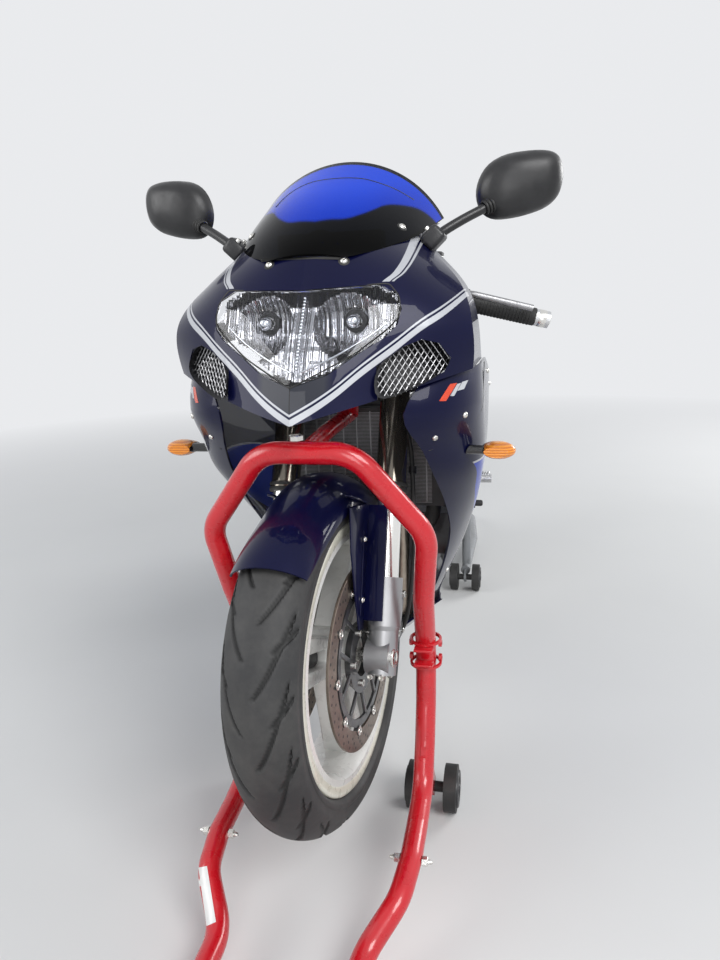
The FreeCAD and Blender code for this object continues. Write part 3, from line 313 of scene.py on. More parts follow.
def tyre_rubber():
    """Dusty rubber, with painted shade darkening the cut grooves."""
    rubber = Finish("tyre rubber", (0.022, 0.022, 0.023), roughness=0.62)
    cut = rubber.nodes.new("ShaderNodeAttribute")
    cut.attribute_name = "groove"
    bloom = rubber.spread(rubber.noise(9.0, 6.0, 0.7), 0.40, 0.75)
    color = rubber.blend(bloom, (0.024, 0.024, 0.025), (0.062, 0.060, 0.057))
    # painted shade: the groove share darkens the rubber to near black inside the cut grooves
    color = rubber.blend(cut.outputs["Fac"], color, (0.006, 0.006, 0.006))
    rubber.set("Base Color", color)
    rubber.bump(rubber.noise(700.0, 3.0, 0.7), 0.15, 0.0005)
    return rubber.material


def lamp_chrome():
    """Vapour-plated reflector with fine upright fluting."""
    chrome = Finish("lamp chrome", (0.46, 0.46, 0.48), roughness=0.12, metallic=1.0)
    flutes = chrome.math("SINE", chrome.math("MULTIPLY", chrome.axes()["X"], 1250.0))
    chrome.bump(chrome.math("ADD", flutes, chrome.noise(40.0)), 0.5, 0.0012)
    return chrome.material


def clear_glass(name, color, roughness=0.02, scuff=0.06):
    glass = Finish(name, color, roughness=roughness, Transmission_Weight=1.0, IOR=1.30)
    glass.set("Roughness", glass.spread(glass.noise(40.0, 4.0), 0.55, 0.9, roughness, roughness + scuff))
    return glass.material


# Edge of the painted shade low on the screen: place along the bike over the distance from the middle
SCREEN_SHADE_EDGE = [(0.0, -0.648), (0.022, -0.643), (0.046, -0.636), (0.066, -0.617), (0.085, -0.588),
                (0.096, -0.566),
                (0.123, -0.530), (0.154, -0.492), (0.185, -0.470)]


def screen_acrylic():
    """Blue tinted acrylic: clear above, painted shade low down for the dark parts seen through it, painted
    sky light brightening the blue above that, and a dark rolled rim.
    """
    glass = Finish("blue tinted acrylic", (0.01, 0.05, 0.75), roughness=0.02, Transmission_Weight=1.0,
                   IOR=1.13)
    x, y, z = glass.axes()
    behind = glass.math("SUBTRACT", y, glass.line(glass.math("ABSOLUTE", x), SCREEN_SHADE_EDGE))
    # painted shade: low down the screen is tinted near black, standing for the dark parts behind it
    dark = glass.spread(behind, -0.004, 0.004, 1.0, 0.0)
    rim = glass.spread(y, -0.4395, -0.4385)
    # painted light: the blue brightens upward from the edge of the painted shade, standing for sky light
    # seen through the screen
    color = glass.blend(glass.spread(behind, 0.0, 0.10), (0.004, 0.045, 0.62), (0.006, 0.075, 0.86))
    color = glass.blend(dark, color, (0.0016, 0.0022, 0.0045))
    color = glass.blend(rim, color, (0.0006, 0.0006, 0.001))
    glass.set("Base Color", color)
    glass.set("Roughness", glass.spread(glass.noise(40.0, 4.0), 0.55, 0.9, 0.015, 0.08))
    return glass.material


def colored_lens(name, color, deep):
    lens = Finish(name, color, roughness=0.12, Coat_Weight=0.7, Transmission_Weight=0.35, IOR=1.45)
    ribs = lens.math("SINE", lens.math("MULTIPLY", lens.axes()["Z"], 1400.0))
    # painted shade: the rib troughs take the deeper colour and the crests the lighter one
    lens.set("Base Color", lens.blend(lens.spread(ribs, -1.0, 1.0), deep, color))
    lens.bump(ribs, 0.25, 0.0006)
    return lens.material


def indicator_lens():
    """Black stalk and base, amber lens further out."""
    lens = Finish("amber lens and stalk", (0.95, 0.30, 0.02), roughness=0.14, Coat_Weight=0.6)
    away = lens.math("ABSOLUTE", lens.axes()["X"])
    ribs = lens.math("SINE", lens.math("MULTIPLY", lens.axes()["Z"], 1400.0))
    # painted shade: the amber is deeper in the rib troughs and lighter on the crests
    amber = lens.blend(lens.spread(ribs, -1.0, 1.0), (0.62, 0.16, 0.006), (0.92, 0.33, 0.02))
    lens.set("Base Color", lens.blend(lens.spread(away, 0.2638, 0.2646), (0.012, 0.012, 0.013), amber))
    lens.bump(ribs, 0.3, 0.0006)
    return lens.material


FINISHES = {
    "navy": navy_paint(),
    "nose": nose_paint(),
    "side": side_paint(),
    "red": enamel("red stand enamel", (0.56, 0.005, 0.013), (0.48, 0.007, 0.013)),
    "white": enamel("white wheel enamel", (0.72, 0.72, 0.69), (0.62, 0.61, 0.57)),
    "cream": enamel("cream rim lip", (0.68, 0.67, 0.57), (0.60, 0.58, 0.48)),
    "grey": enamel("grey stand enamel", (0.20, 0.21, 0.22), (0.12, 0.12, 0.12), 0.35),
    "alloy": bare_metal("frame alloy", (0.62, 0.63, 0.64), (0.45, 0.45, 0.45), 0.34),
    "fork": fork_metal(),
    "steel": bare_metal("zinc plated steel", (0.74, 0.73, 0.70), (0.52, 0.50, 0.46), 0.24),
    "brake": bare_metal("browned brake steel", (0.30, 0.25, 0.21), (0.17, 0.14, 0.12), 0.36),
    "chain": bare_metal("oiled chain steel", (0.34, 0.32, 0.28), (0.14, 0.12, 0.10), 0.4),
    "gold": bare_metal("gold chain plates", (0.56, 0.42, 0.18), (0.30, 0.22, 0.10), 0.34),
    "pipe": bare_metal("heat tinted pipe", (0.46, 0.40, 0.33), (0.26, 0.20, 0.16), 0.36),
    "silencer": bare_metal("brushed silencer", (0.52, 0.53, 0.54), (0.40, 0.40, 0.40), 0.3,
                           (1, 0.06, 0.06)),
    "engine": enamel("engine casting paint", (0.10, 0.10, 0.11), (0.05, 0.05, 0.05), 0.5),
    "radiator": moulded("radiator black", (0.025, 0.025, 0.027), (0.06, 0.06, 0.06), 0.45),
    "black": moulded("satin black plastic", (0.014, 0.014, 0.016), (0.040, 0.040, 0.042), 0.42),
    "caliper": enamel("black caliper enamel", (0.02, 0.02, 0.022), (0.05, 0.05, 0.05), 0.35),
    "mirror": moulded("mirror shell black", (0.010, 0.010, 0.011), (0.026, 0.026, 0.028), 0.38),
    "rubber": moulded("moulded rubber", (0.014, 0.014, 0.014), (0.045, 0.043, 0.040), 0.62),
    "tyre": tyre_rubber(),
    "vinyl": moulded("seat vinyl", (0.018, 0.018, 0.020), (0.045, 0.045, 0.048), 0.48, 420.0),
    "lever": bare_metal("lever alloy", (0.36, 0.36, 0.37), (0.2, 0.2, 0.2), 0.4),
    "mesh": bare_metal("woven steel wire", (0.42, 0.42, 0.43), (0.30, 0.30, 0.31), 0.32),
    "indicator": indicator_lens(),
    "amber": colored_lens("amber lens", (0.95, 0.30, 0.02), (0.75, 0.16, 0.01)),
    "tail red": colored_lens("red tail lens", (0.70, 0.02, 0.02), (0.35, 0.01, 0.01)),
    "lamp glass": clear_glass("clear lamp glass", (0.90, 0.91, 0.93), 0.0, 0.03),
    "chrome": lamp_chrome(),
    "mirror glass": bare_metal("mirror glass", (0.80, 0.82, 0.85), (0.76, 0.78, 0.81), 0.05),
    "acrylic": screen_acrylic(),
    "spring": enamel("spring enamel", (0.55, 0.50, 0.06), (0.40, 0.36, 0.05)),
    "label": enamel("blank white label", (0.78, 0.78, 0.76), (0.62, 0.61, 0.58), 0.4),
    "mark red": enamel("orange red mark", (0.72, 0.055, 0.010), (0.60, 0.04, 0.01)),
    "mark silver": enamel("silver mark", STRIPE_SILVER, (0.42, 0.43, 0.45)),
    "dial": enamel("dial face", (0.60, 0.60, 0.57), (0.52, 0.52, 0.50), 0.5),
}

NODE_FINISH = {
    "navy": ["belly_pan", "fuel_tank", "tail_fairing", "front_mudguard"],
    "nose": ["nose_fairing"],
    "side": ["side_fairing_left", "side_fairing_right"],
    "red": ["front_stand", "stand_head_pin"],
    "steel": ["front_axle", "rear_axle", "pivot_bolt"],
    "grey": ["rear_stand"],
    "white": ["front_rim", "rear_rim"],
    "alloy": ["main_frame", "swingarm", "handlebars", "footrests"],
    "fork": ["fork_legs"],
    "brake": ["front_discs", "rear_disc"],
    "chain": ["drive_chain", "rear_sprocket"],
    "pipe": ["exhaust_pipes"],
    "silencer": ["silencer"],
    "engine": ["engine_block"],
    "radiator": ["radiator"],
    "black": ["instrument_panel", "fairing_stay", "rear_mudguard", "top_yoke", "bottom_yoke",
              "side_stand",
              "side_stand_bracket"],
    "caliper": ["front_calipers", "rear_caliper"],
    "mirror": ["mirrors"],
    "rubber": ["grips", "stand_pads", "front_stand_rollers_left", "front_stand_rollers_right",
               "rear_stand_rollers_left", "rear_stand_rollers_right"],
    "tyre": ["front_tyre", "rear_tyre"],
    "vinyl": ["rider_seat", "pillion_seat"],
    "lever": ["control_levers"],
    "mesh": ["intake_meshes"],
    "indicator": ["front_indicators"],
    "amber": ["rear_indicators"],
    "tail red": ["tail_lamp"],
    "lamp glass": ["headlamp"],
    "acrylic": ["windscreen"],
}


def finish_nodes():
    for finish, names in NODE_FINISH.items():
        for name in names:
            node = NODES[name]
            node.data.materials.clear()
            node.data.materials.append(FINISHES[finish])


# Workshop: turned parts, hoses, fasteners and pieces laid on a surface


def add_piece(name, shape, finish, body, crease=35.0, outward=True):
    """Makes a piece from a shape and lets it ride on a body."""
    bmesh.ops.remove_doubles(shape, verts=shape.verts, dist=1e-6)
    if outward:
        bmesh.ops.recalc_face_normals(shape, faces=shape.faces)
    mesh = bpy.data.meshes.new(name)
    shape.to_mesh(mesh)
    shape.free()
    for face in mesh.polygons:
        face.use_smooth = True
    mesh.set_sharp_from_angle(angle=math.radians(crease))
    mesh.materials.append(FINISHES[finish])
    piece = bpy.data.objects.new(name, mesh)
    bpy.context.scene.collection.objects.link(piece)
    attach(piece, body)
    return piece


def placed(shape, matrix):
    bmesh.ops.transform(shape, matrix=matrix, verts=shape.verts)
    return shape


def aimed(place, axis, roll=0.0):
    """A frame at a place whose Z axis points along the given axis."""
    turn = Vector(axis).normalized().to_track_quat("Z", "Y").to_matrix().to_4x4()
    return Matrix.Translation(place) @ turn @ Matrix.Rotation(roll, 4, "Z")


def joined(shapes):
    """One shape of several."""
    whole = bmesh.new()
    for shape in shapes:
        part = bpy.data.meshes.new("part")
        bmesh.ops.recalc_face_normals(shape, faces=shape.faces)
        shape.to_mesh(part)
        shape.free()
        whole.from_mesh(part)
        bpy.data.meshes.remove(part)
    return whole


def turned(profile, steps=32):
    """A part turned from (radius, height) points about Z, in metres."""
    shape = bmesh.new()
    row = [shape.verts.new((radius, 0, height)) for radius, height in profile]
    edges = [shape.edges.new(pair) for pair in zip(row, row[1:])]
    bmesh.ops.spin(shape, geom=row + edges, cent=(0, 0, 0), axis=(0, 0, 1), angle=TURN, steps=steps,
                   use_merge=True, use_duplicate=False)
    bmesh.ops.remove_doubles(shape, verts=shape.verts, dist=1e-7)
    return shape


def block(size, edge=0.0, segments=2):
    """A box of the given size with rounded edges."""
    shape = bmesh.new()
    bmesh.ops.create_cube(shape, size=1.0, matrix=Matrix.Diagonal((*size, 1)))
    if edge:
        bmesh.ops.bevel(shape, geom=shape.edges[:], offset=edge, segments=segments, profile=0.5,
                        affect="EDGES", material=-1)
    return shape


def plate(outline, thick, edge=0.0):
    """A flat plate from an outline in X and Y, as thick as given along Z."""
    shape = bmesh.new()
    corners = [shape.verts.new((x, y, 0)) for x, y in outline]
    face = shape.faces.new(corners)
    grown = bmesh.ops.extrude_face_region(shape, geom=[face])
    lifted = [item for item in grown["geom"] if isinstance(item, bmesh.types.BMVert)]
    bmesh.ops.translate(shape, verts=lifted, vec=(0, 0, thick))
    if edge:
        bmesh.ops.bevel(shape, geom=shape.edges[:], offset=edge, segments=2, profile=0.5, affect="EDGES",
                        material=-1)
    return shape


def cap_bolt(radius, head, steps=24):
    """A socket-head bolt that stands on its seat, with a hexagon recess."""
    profile = [(0, head * 0.45), (radius * 0.50, head * 0.45), (radius * 0.50, head * 0.97),
               (radius * 0.58, head), (radius * 0.86, head), (radius, head * 0.86), (radius, -head * 0.2)]
    shape = turned(profile, steps)
    for vert in shape.verts:
        reach = vert.co.xy.length
        if 0 < reach < radius * 0.55:
            angle = math.atan2(vert.co.y, vert.co.x) % (TURN / 6) - TURN / 12
            vert.co.xy *= math.cos(TURN / 12) / math.cos(angle)
    return shape


def dome_bolt(radius, head, steps=24):
    """A domed screw with a cross recess and a rubber washer's step."""
    profile = [(0, head * 0.70), (radius * 0.30, head * 0.72), (radius * 0.34, head * 0.98),
               (radius * 0.65, head * 0.88), (radius * 0.92, head * 0.45), (radius, 0),
               (radius, -head * 0.3)]
    return turned(profile, steps)


def hex_nut(radius, thick, thread=0.0):
    """A hexagon nut, with the thread's end standing out of it."""
    nut = turned([(radius * 0.55, thick), (radius * 0.82, thick), (radius, thick * 0.86), (radius, 0)], 6)
    shapes = [nut]
    if thread:
        shapes.append(turned([(0, thick + thread), (radius * 0.45, thick + thread),
                              (radius * 0.52, thick + thread * 0.8),
                              (radius * 0.52, thick * 0.5)], 16))
    return joined(shapes)


def fasteners(name, spots, radius, head, finish, body, make=cap_bolt):
    """A row of like fasteners, each at a (place, axis)."""
    shapes = []
    for index, (place, axis) in enumerate(spots):
        shapes.append(placed(make(radius, head), aimed(place, axis, index * 0.7)))
    return add_piece(name, joined(shapes), finish, body)


def hose(name, points, radius, finish, body, sides=4):
    """A held hose, cable or wire along a smooth line."""
    data = bpy.data.curves.new(name, "CURVE")
    data.dimensions = "3D"
    data.bevel_depth = radius
    data.bevel_resolution = sides
    data.use_fill_caps = True
    data.resolution_u = 10
    spline = data.splines.new("NURBS")
    spline.points.add(len(points) - 1)
    for point, place in zip(spline.points, points):
        point.co = (*place, 1)
    spline.order_u = 4 if len(points) > 3 else 3
    spline.use_endpoint_u = True
    line = bpy.data.objects.new(name, data)
    mesh = bpy.data.meshes.new_from_object(line)
    bpy.data.objects.remove(line)
    shape = bmesh.new()
    shape.from_mesh(mesh)
    bpy.data.meshes.remove(mesh)
    return add_piece(name, shape, finish, body, 60.0)


TREES = {}


def surface(name):
    if name not in TREES:
        mesh = NODES[name].data if name in NODES else bpy.data.objects[name].data
        places = [vert.co.copy() for vert in mesh.vertices]
        TREES[name] = BVHTree.FromPolygons(places, [face.vertices[:] for face in mesh.polygons])
    return TREES[name]


def struck(start, way, *names):
    """(place, normal) where a line first meets one of the nodes, or None."""
    best = None
    for name in names:
        place, normal, _, reach = surface(name).ray_cast(Vector(start), Vector(way).normalized())
        if place is not None and (best is None or reach < best[2]):
            best = (place, normal if normal.dot(Vector(way)) < 0 else -normal, reach)
    return best[:2] if best else None


def seen(u, v, *names):
    """(place, normal) on the nodes at a pixel of the photograph."""
    way = AHEAD + (u - IMAGE_WIDTH / 2) / FOCAL_PIXELS * CAMERA_RIGHT - (v - IMAGE_HEIGHT
        / 2) / FOCAL_PIXELS * CAMERA_UP
    return struck(CAMERA_PLACE, way, *names)


def sided(spot, side):
    """The same spot on the left side, 1, or on the right side, -1."""
    place, axis = spot
    return Vector((place.x * side, place.y, place.z)), Vector((axis.x * side, axis.y, axis.z))


def both_sides(spots):
    return [sided(spot, side) for side in (1, -1) for spot in spots]


SIDE_SKIN = ["fairing_panel_left", "nose_fairing"]


def laid(name, corners, node, finish, body, side=1, lift=0.0004, cuts=(14, 5)):
    """A thin sticker whose corners are pixels of the photograph, laid on a node."""
    shape = bmesh.new()
    bmesh.ops.create_grid(shape, x_segments=cuts[0], y_segments=cuts[1], size=0.5)
    lost = []
    for vert in shape.verts:
        across, down = vert.co.x + 0.5, vert.co.y + 0.5
        top = Vector(corners[0]).lerp(Vector(corners[1]), across)
        low = Vector(corners[3]).lerp(Vector(corners[2]), across)
        spot = seen(*low.lerp(top, down), *node)
        if spot is None:
            lost.append(vert)
            continue
        vert.co = spot[0] + spot[1] * lift
        vert.co.x *= side
    if len(lost) > 5:
        print("missing corners of", name, len(lost))
    bmesh.ops.delete(shape, geom=lost, context="VERTS")
    return add_piece(name, shape, finish, body, outward=False)


def swept_line(name, pixels, nodes, radius, finish, body, side=1):
    """A round line laid on the nodes through pixels of the photograph."""
    points = [spot[0] for spot in (seen(u, v, *nodes) for u, v in pixels) if spot]
    return hose(name, [Vector((point.x * side, point.y, point.z)) for point in points], radius, finish,
                body, 2)


# Tyres


TREAD_LONG, TREAD_SHORT = 18, 18
GROOVE_HALF = 0.0030
GROOVE_DEPTH = 0.0042


def groove_share(angle, along, half, radius):
    """How deep a point of the tread lies in a groove, from 0 to 1."""
    side = 1 if along > 0 else -1
    reach = abs(along) / half
    deepest = 0.0
    for count, start, end, sweep, lead in ((TREAD_LONG, 0.05, 0.86, 0.62, 0.0),
                                           (TREAD_SHORT, 0.40, 0.97, 0.22, 0.5)):
        pitch = TURN / count
        line = sweep * (reach ** 1.7) + lead * pitch + (0.5 * pitch if side < 0 else 0.0)
        off = (angle - line + pitch / 2) % pitch - pitch / 2
        slope = sweep * 1.7 * (reach ** 0.7) / half * radius
        gap = abs(off) * radius / math.sqrt(1 + slope * slope)
        width = GROOVE_HALF * (1.25 if lead else 1.0)
        taper = min(1.0, max(0.0, (reach - start) / 0.12)) * min(1.0, max(0.0, (end - reach) / 0.10))
        edge = min(1.0, max(0.0, (width * taper - gap) / 0.0012 + 0.5)) if taper > 0.05 else 0.0
        deepest = max(deepest, edge * min(1.0, taper * 1.5))
    return deepest


def make_tyre(name, radius, half, shoulder, bead_half, matrix, body, steps=720):
    """A spun tyre: rounded tread with cut grooves, ringed sidewalls and beads."""
    rise = radius - shoulder
    bow = (half * half + rise * rise) / (2 * rise)
    middle = radius - bow
    reach = math.asin(half / bow)
    rows = int(round(2 * bow * reach / 0.0026))
    side = [(bead_half, 0.2175), (bead_half, 0.2315), (bead_half + (half - bead_half) * 0.60, 0.2345),
            (half - 0.0022, 0.2385), (half - 0.0006, 0.2405), (half, 0.2440), (half - 0.0004, 0.2470),
            (half - 0.0014, 0.2476), (half - 0.0012, 0.2520), (half - 0.0004, 0.2570)]
    tread = [(bow * math.sin(-reach + 2 * reach * index / rows),
              middle + bow * math.cos(-reach + 2 * reach * index / rows))
             for index in range(rows + 1)]
    outline = [(-x, r) for x, r in side] + tread + [(x, r) for x, r in reversed(side)]
    shape = bmesh.new()
    row = [shape.verts.new((x, 0, r)) for x, r in outline]
    edges = [shape.edges.new(pair) for pair in zip(row, row[1:])]
    bmesh.ops.spin(shape, geom=row + edges, cent=(0, 0, 0), axis=(1, 0, 0), angle=TURN, steps=steps,
                   use_merge=True, use_duplicate=False)
    bmesh.ops.remove_doubles(shape, verts=shape.verts, dist=1e-6)
    cut = shape.verts.layers.float.new("groove")
    for vert in shape.verts:
        x, out = vert.co.x, vert.co.yz.length
        if out > shoulder - 1e-4:
            along = bow * math.asin(max(-1.0, min(1.0, x / bow)))
            share = groove_share(math.atan2(vert.co.y, vert.co.z), along, bow * reach, out)
            if share > 0:
                vert[cut] = share
                vert.co.yz *= (out - GROOVE_DEPTH * share) / out
    placed(shape, matrix)
    tyre = add_piece(name + "_treaded", shape, "tyre", body, 60.0)
    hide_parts(name)
    return tyre


def ring_about_x(profile, steps=96):
    """A ring turned about X from (place along X, radius) points."""
    shape = turned([(radius, along) for along, radius in profile], steps)
    return placed(shape, Matrix.Rotation(TURN / 4, 4, "Y"))


def make_wheels():
    make_tyre("front_tyre", 0.300, 0.060, 0.262, 0.0455, FRONT_WHEEL, "front_wheel")
    make_tyre("rear_tyre", 0.315, 0.090, 0.262, 0.0705, REAR_WHEEL, "rear_wheel")
    for name, half, matrix, body in (("front", 0.052, FRONT_WHEEL, "front_wheel"),
                                     ("rear", 0.077, REAR_WHEEL, "rear_wheel")):
        lips = []
        for side in (1, -1):
            lip = ring_about_x([(half - 0.0070, 0.2312), (half - 0.004, 0.2322), (half - 0.001, 0.2320),
                                (half + 0.0012, 0.2300), (half + 0.0014, 0.2240), (half + 0.0010, 0.2170),
                                (half - 0.0004, 0.2130), (half - 0.0040, 0.2080)], 144)
            lips.append(placed(lip, Matrix.Rotation(0 if side > 0 else TURN / 2, 4, "Z")))
        add_piece(name + "_rim_lips", placed(joined(lips), matrix), "cream", body, 60.0)
        valve = turned([(0, 0.034), (0.0038, 0.034), (0.0042, 0.030), (0.0042, 0.020), (0.0030, 0.019),
                        (0.0030, 0.006), (0.0052, 0.002), (0.0052, -0.002)], 16)
        placed(valve, matrix @ Matrix.Rotation(math.radians(250), 4,
                                               "X") @ Matrix.Translation((0.004, 0, 0.194))
               @ Matrix.Rotation(TURN / 2, 4, "X"))
        add_piece(name + "_valve", valve, "rubber", body)
    disc_spots, carrier_spots = [], []
    for side in (1, -1):
        for index in range(10):
            turn = Matrix.Rotation(index * TURN / 10, 4, "X")
            disc_spots.append((FRONT_WHEEL @ turn @ Vector((side * 0.0685, 0, 0.126)),
                               FRONT_WHEEL.to_3x3() @ Vector((side, 0, 0))))
        for index in range(5):
            turn = Matrix.Rotation((index + 0.5) * TURN / 5, 4, "X")
            carrier_spots.append((FRONT_WHEEL @ turn @ Vector((side * 0.067, 0, 0.047)),
                                  FRONT_WHEEL.to_3x3() @ Vector((side, 0, 0))))

    def bobbin(radius, head):
        return turned([(radius * 0.42, 0), (radius * 0.42, head), (radius * 0.55, head),
                       (radius * 0.60, head * 0.5),
                       (radius * 0.80, head * 0.5), (radius * 0.85, head), (radius, head * 0.8),
                       (radius, -head * 0.2)],
                      20)

    fasteners("front_bobbins", disc_spots, 0.0082, 0.0012, "steel", "front_wheel", bobbin)
    fasteners("front_disc_bolts", carrier_spots, 0.0060, 0.0050, "steel", "front_wheel")
    rear_spots = [(REAR_WHEEL @ Matrix.Rotation(index * TURN / 10, 4, "X") @ Vector((-0.0905, 0, 0.076)),
                   (-1, 0, 0))
                  for index in range(10)]
    fasteners("rear_bobbins", rear_spots, 0.0082, 0.0012, "steel", "rear_wheel", bobbin)
    rear_spots = [(REAR_WHEEL @ Matrix.Rotation((index + 0.5) * TURN / 5, 4,
                                                "X") @ Vector((-0.089, 0, 0.047)), (-1, 0, 0))
                  for index in range(5)]
    fasteners("rear_disc_bolts", rear_spots, 0.0055, 0.0045, "steel", "rear_wheel")
    nuts = [(REAR_WHEEL @ Matrix.Rotation((index + 0.5) * TURN / 5, 4, "X") @ Vector((0.1115, 0, 0.060)),
             (1, 0, 0))
            for index in range(5)]
    fasteners("sprocket_nuts", nuts, 0.0075, 0.0055, "steel", "rear_wheel", hex_nut)


# Fork, brakes and steering


def head_place(x, y, z):
    """A place in the turned steering frame, in millimetres across, along and up the fork."""
    return HEAD @ (Vector((x, y, z)) * MM)


def head_way(x, y, z):
    return HEAD.to_3x3() @ Vector((x, y, z))


def make_fork():
    spots = []
    for side in (1, -1):
        for forward in (-24, 24):
            for across in (90, 110):
                spots.append((head_place(side * across, -34.3 + forward, -33),
                              head_way(0, -1 if forward < 0 else 1, 0)))
    fasteners("pinch_bolts", spots, 0.0048, 0.0050, "steel", "steering")
    ends = []
    for side in (1, -1):
        ring = turned([(0.0085, 0.004), (0.0105, 0.006), (0.0175, 0.006), (0.0190, 0.004),
                       (0.0190, -0.002)], 40)
        ends.append(placed(ring, aimed(head_place(side * 120.5, -34.3, 0), head_way(side, 0, 0))))
    add_piece("axle_end_rings", joined(ends), "steel", "steering")
    spots = [(head_place(side * 98.3, y, z), head_way(side, 0, 0)) for side in (1, -1)
             for y, z in ((92, 108), (60, 36))]
    fasteners("caliper_bolts", spots, 0.0068, 0.0065, "steel", "steering")
    seals = []
    for side in (1, -1):
        seal = turned([(0.0290, 0.0), (0.0296, 0.002), (0.0296, 0.006), (0.0284, 0.009), (0.0296, 0.012),
                       (0.0296, 0.016), (0.0275, 0.018)], 48)
        seals.append(placed(seal, HEAD @ Matrix.Translation((side * 0.103, FORK_LINE, 0.284))))
    add_piece("fork_dust_seals", joined(seals), "rubber", "steering")
    caps, adjusters = [], []
    for side in (1, -1):
        cap = turned([(0, 0.012), (0.014, 0.012), (0.014, 0.009), (0.024, 0.009), (0.0262, 0.007),
                      (0.0262, 0)], 48)
        caps.append(placed(cap, HEAD @ Matrix.Translation((side * 0.103, FORK_LINE, 0.738))))
        adjusters.append((head_place(side * 103, -34.3, 749), head_way(0, 0, 1)))
    add_piece("fork_caps", joined(caps), "alloy", "steering")
    fasteners("preload_adjusters", adjusters, 0.0085, 0.010, "steel", "steering", hex_nut)
    stem = turned([(0.008, 0.008), (0.012, 0.010), (0.0225, 0.010), (0.0245, 0.007), (0.0245, 0)], 6)
    add_piece("stem_nut", placed(stem, HEAD @ Matrix.Translation((0, 0, 0.7285))), "steel", "steering")
    clamps = []
    for side in (1, -1):
        for height in (488, 504, 717):
            clamps.append((head_place(side * 122, -68, height), head_way(0, -1, 0)))
    fasteners("yoke_clamp_bolts", clamps, 0.0052, 0.0055, "steel", "steering")
    key = [turned([(0.0035, 0.012), (0.013, 0.012), (0.016, 0.008), (0.017, 0)], 32)]
    add_piece("key_switch", placed(joined(key), HEAD @ Matrix.Translation((0, -0.036, 0.728))), "black",
              "steering")


def make_brakes():
    pistons, bleeds, pins = [], [], []
    turn = FRONT_WHEEL @ Matrix.Rotation(math.radians(-62), 4, "X")
    for side in (1, -1):
        for y in (-24, 24):
            cap = turned([(0, 0.0028), (0.0125, 0.0028), (0.0135, 0.0040), (0.0160, 0.0040),
                          (0.0170, 0.003),
                          (0.0170, -0.001)], 32)
            pistons.append(placed(cap, turn @ Matrix.Translation((side * 0.088, y * MM, 0.150))
                                  @ Matrix.Rotation(side * TURN / 4, 4, "Y")))
        bleed = turned([(0, 0.017), (0.003, 0.017), (0.0036, 0.013), (0.0022, 0.011), (0.0030, 0.006),
                        (0.0048, 0.004),
                        (0.0048, 0)], 12)
        bleeds.append(placed(bleed, turn @ Matrix.Translation((side * 0.076, -0.040, 0.178))))
        for y in (-52, 0, 52):
            pins.append((turn @ Vector((side * 0.088, y * MM * 0.92, 0.171)),
                         turn.to_3x3() @ Vector((side, 0, 0))))
    add_piece("caliper_piston_caps", joined(pistons), "caliper", "steering")
    add_piece("caliper_bleed_nipples", joined(bleeds), "steel", "steering")
    fasteners("caliper_body_bolts", pins, 0.0045, 0.0040, "steel", "steering")
    for side, name in ((1, "left"), (-1, "right")):
        start = turn @ Vector((side * 0.078, 0.046, 0.172))
        points = [start, start + turn.to_3x3() @ Vector((side * 0.012, 0.030, 0.016)),
                  head_place(side * 128, 62, 190),
                  head_place(side * 134, 16, 250), head_place(side * 134, -6, 330),
                  head_place(side * 128, -12, 400),
                  head_place(side * 100, -50, 450), head_place(side * 50, -62, 470),
                  head_place(side * 8, -66, 500)]
        hose("front_brake_hose_" + name, points, 0.0042, "rubber", "steering")
    points = [head_place(-8, -66, 500), head_place(-30, -66, 530), head_place(-62, -62, 562),
              head_place(-76, -56, 585), head_place(-78, -56, 636), head_place(-100, -72, 668),
              head_place(-150, -77, 690),
              head_place(-205, -60, 690), head_place(-222, -48, 664)]
    hose("upper_brake_hose", points, 0.0042, "rubber", "steering")
    guides = []
    for side in (1, -1):
        guide = turned([(0.0046, 0.006), (0.0072, 0.006), (0.0072, -0.006), (0.0046, -0.006)], 20)
        guides.append(placed(guide, aimed(head_place(side * 134, -6, 330), head_way(0, 0.1, 1))))
    add_piece("hose_guides", joined(guides), "black", "steering")


def make_mudguard_details():
    """The recessed channel and the bolts of each side plate of the mudguard."""
    channels, bolts = [], []
    for side in (1, -1):
        rib = plate([(-0.060, 0.210), (-0.052, 0.210), (-0.044, 0.120), (-0.046, 0.070), (-0.054, 0.068),
                     (-0.054, 0.120)],
                    0.0016, 0.0004)
        placed(rib, Matrix(((0, 0, side, side * 0.0758), (1, 0, 0, 0), (0, 1, 0, 0), (0, 0, 0, 1))))
        channels.append(placed(rib, FRONT_WHEEL))
        for y, z in ((-0.052, 0.196), (-0.047, 0.094)):
            bolts.append((FRONT_WHEEL @ Vector((side * 0.0774, y, z)),
                          FRONT_WHEEL.to_3x3() @ Vector((side, 0, 0))))
    add_piece("mudguard_ribs", joined(channels), "navy", "steering")
    fasteners("mudguard_bolts", bolts, 0.0055, 0.0030, "steel", "steering", dome_bolt)


def bar_frame(side, back):
    """A frame on the bar: Z runs outward along it, X forward. back is the distance from its end."""
    clamp = head_place(side * 103, -34.3, 672)
    end = head_place(side * 340, 57, 632)
    along = (end - clamp).normalized()
    forward = head_way(0, -1, 0)
    forward = (forward - along * forward.dot(along)).normalized()
    up = along.cross(forward)
    turn = Matrix((forward, up, along)).transposed().to_4x4()
    return Matrix.Translation(end - along * back) @ turn


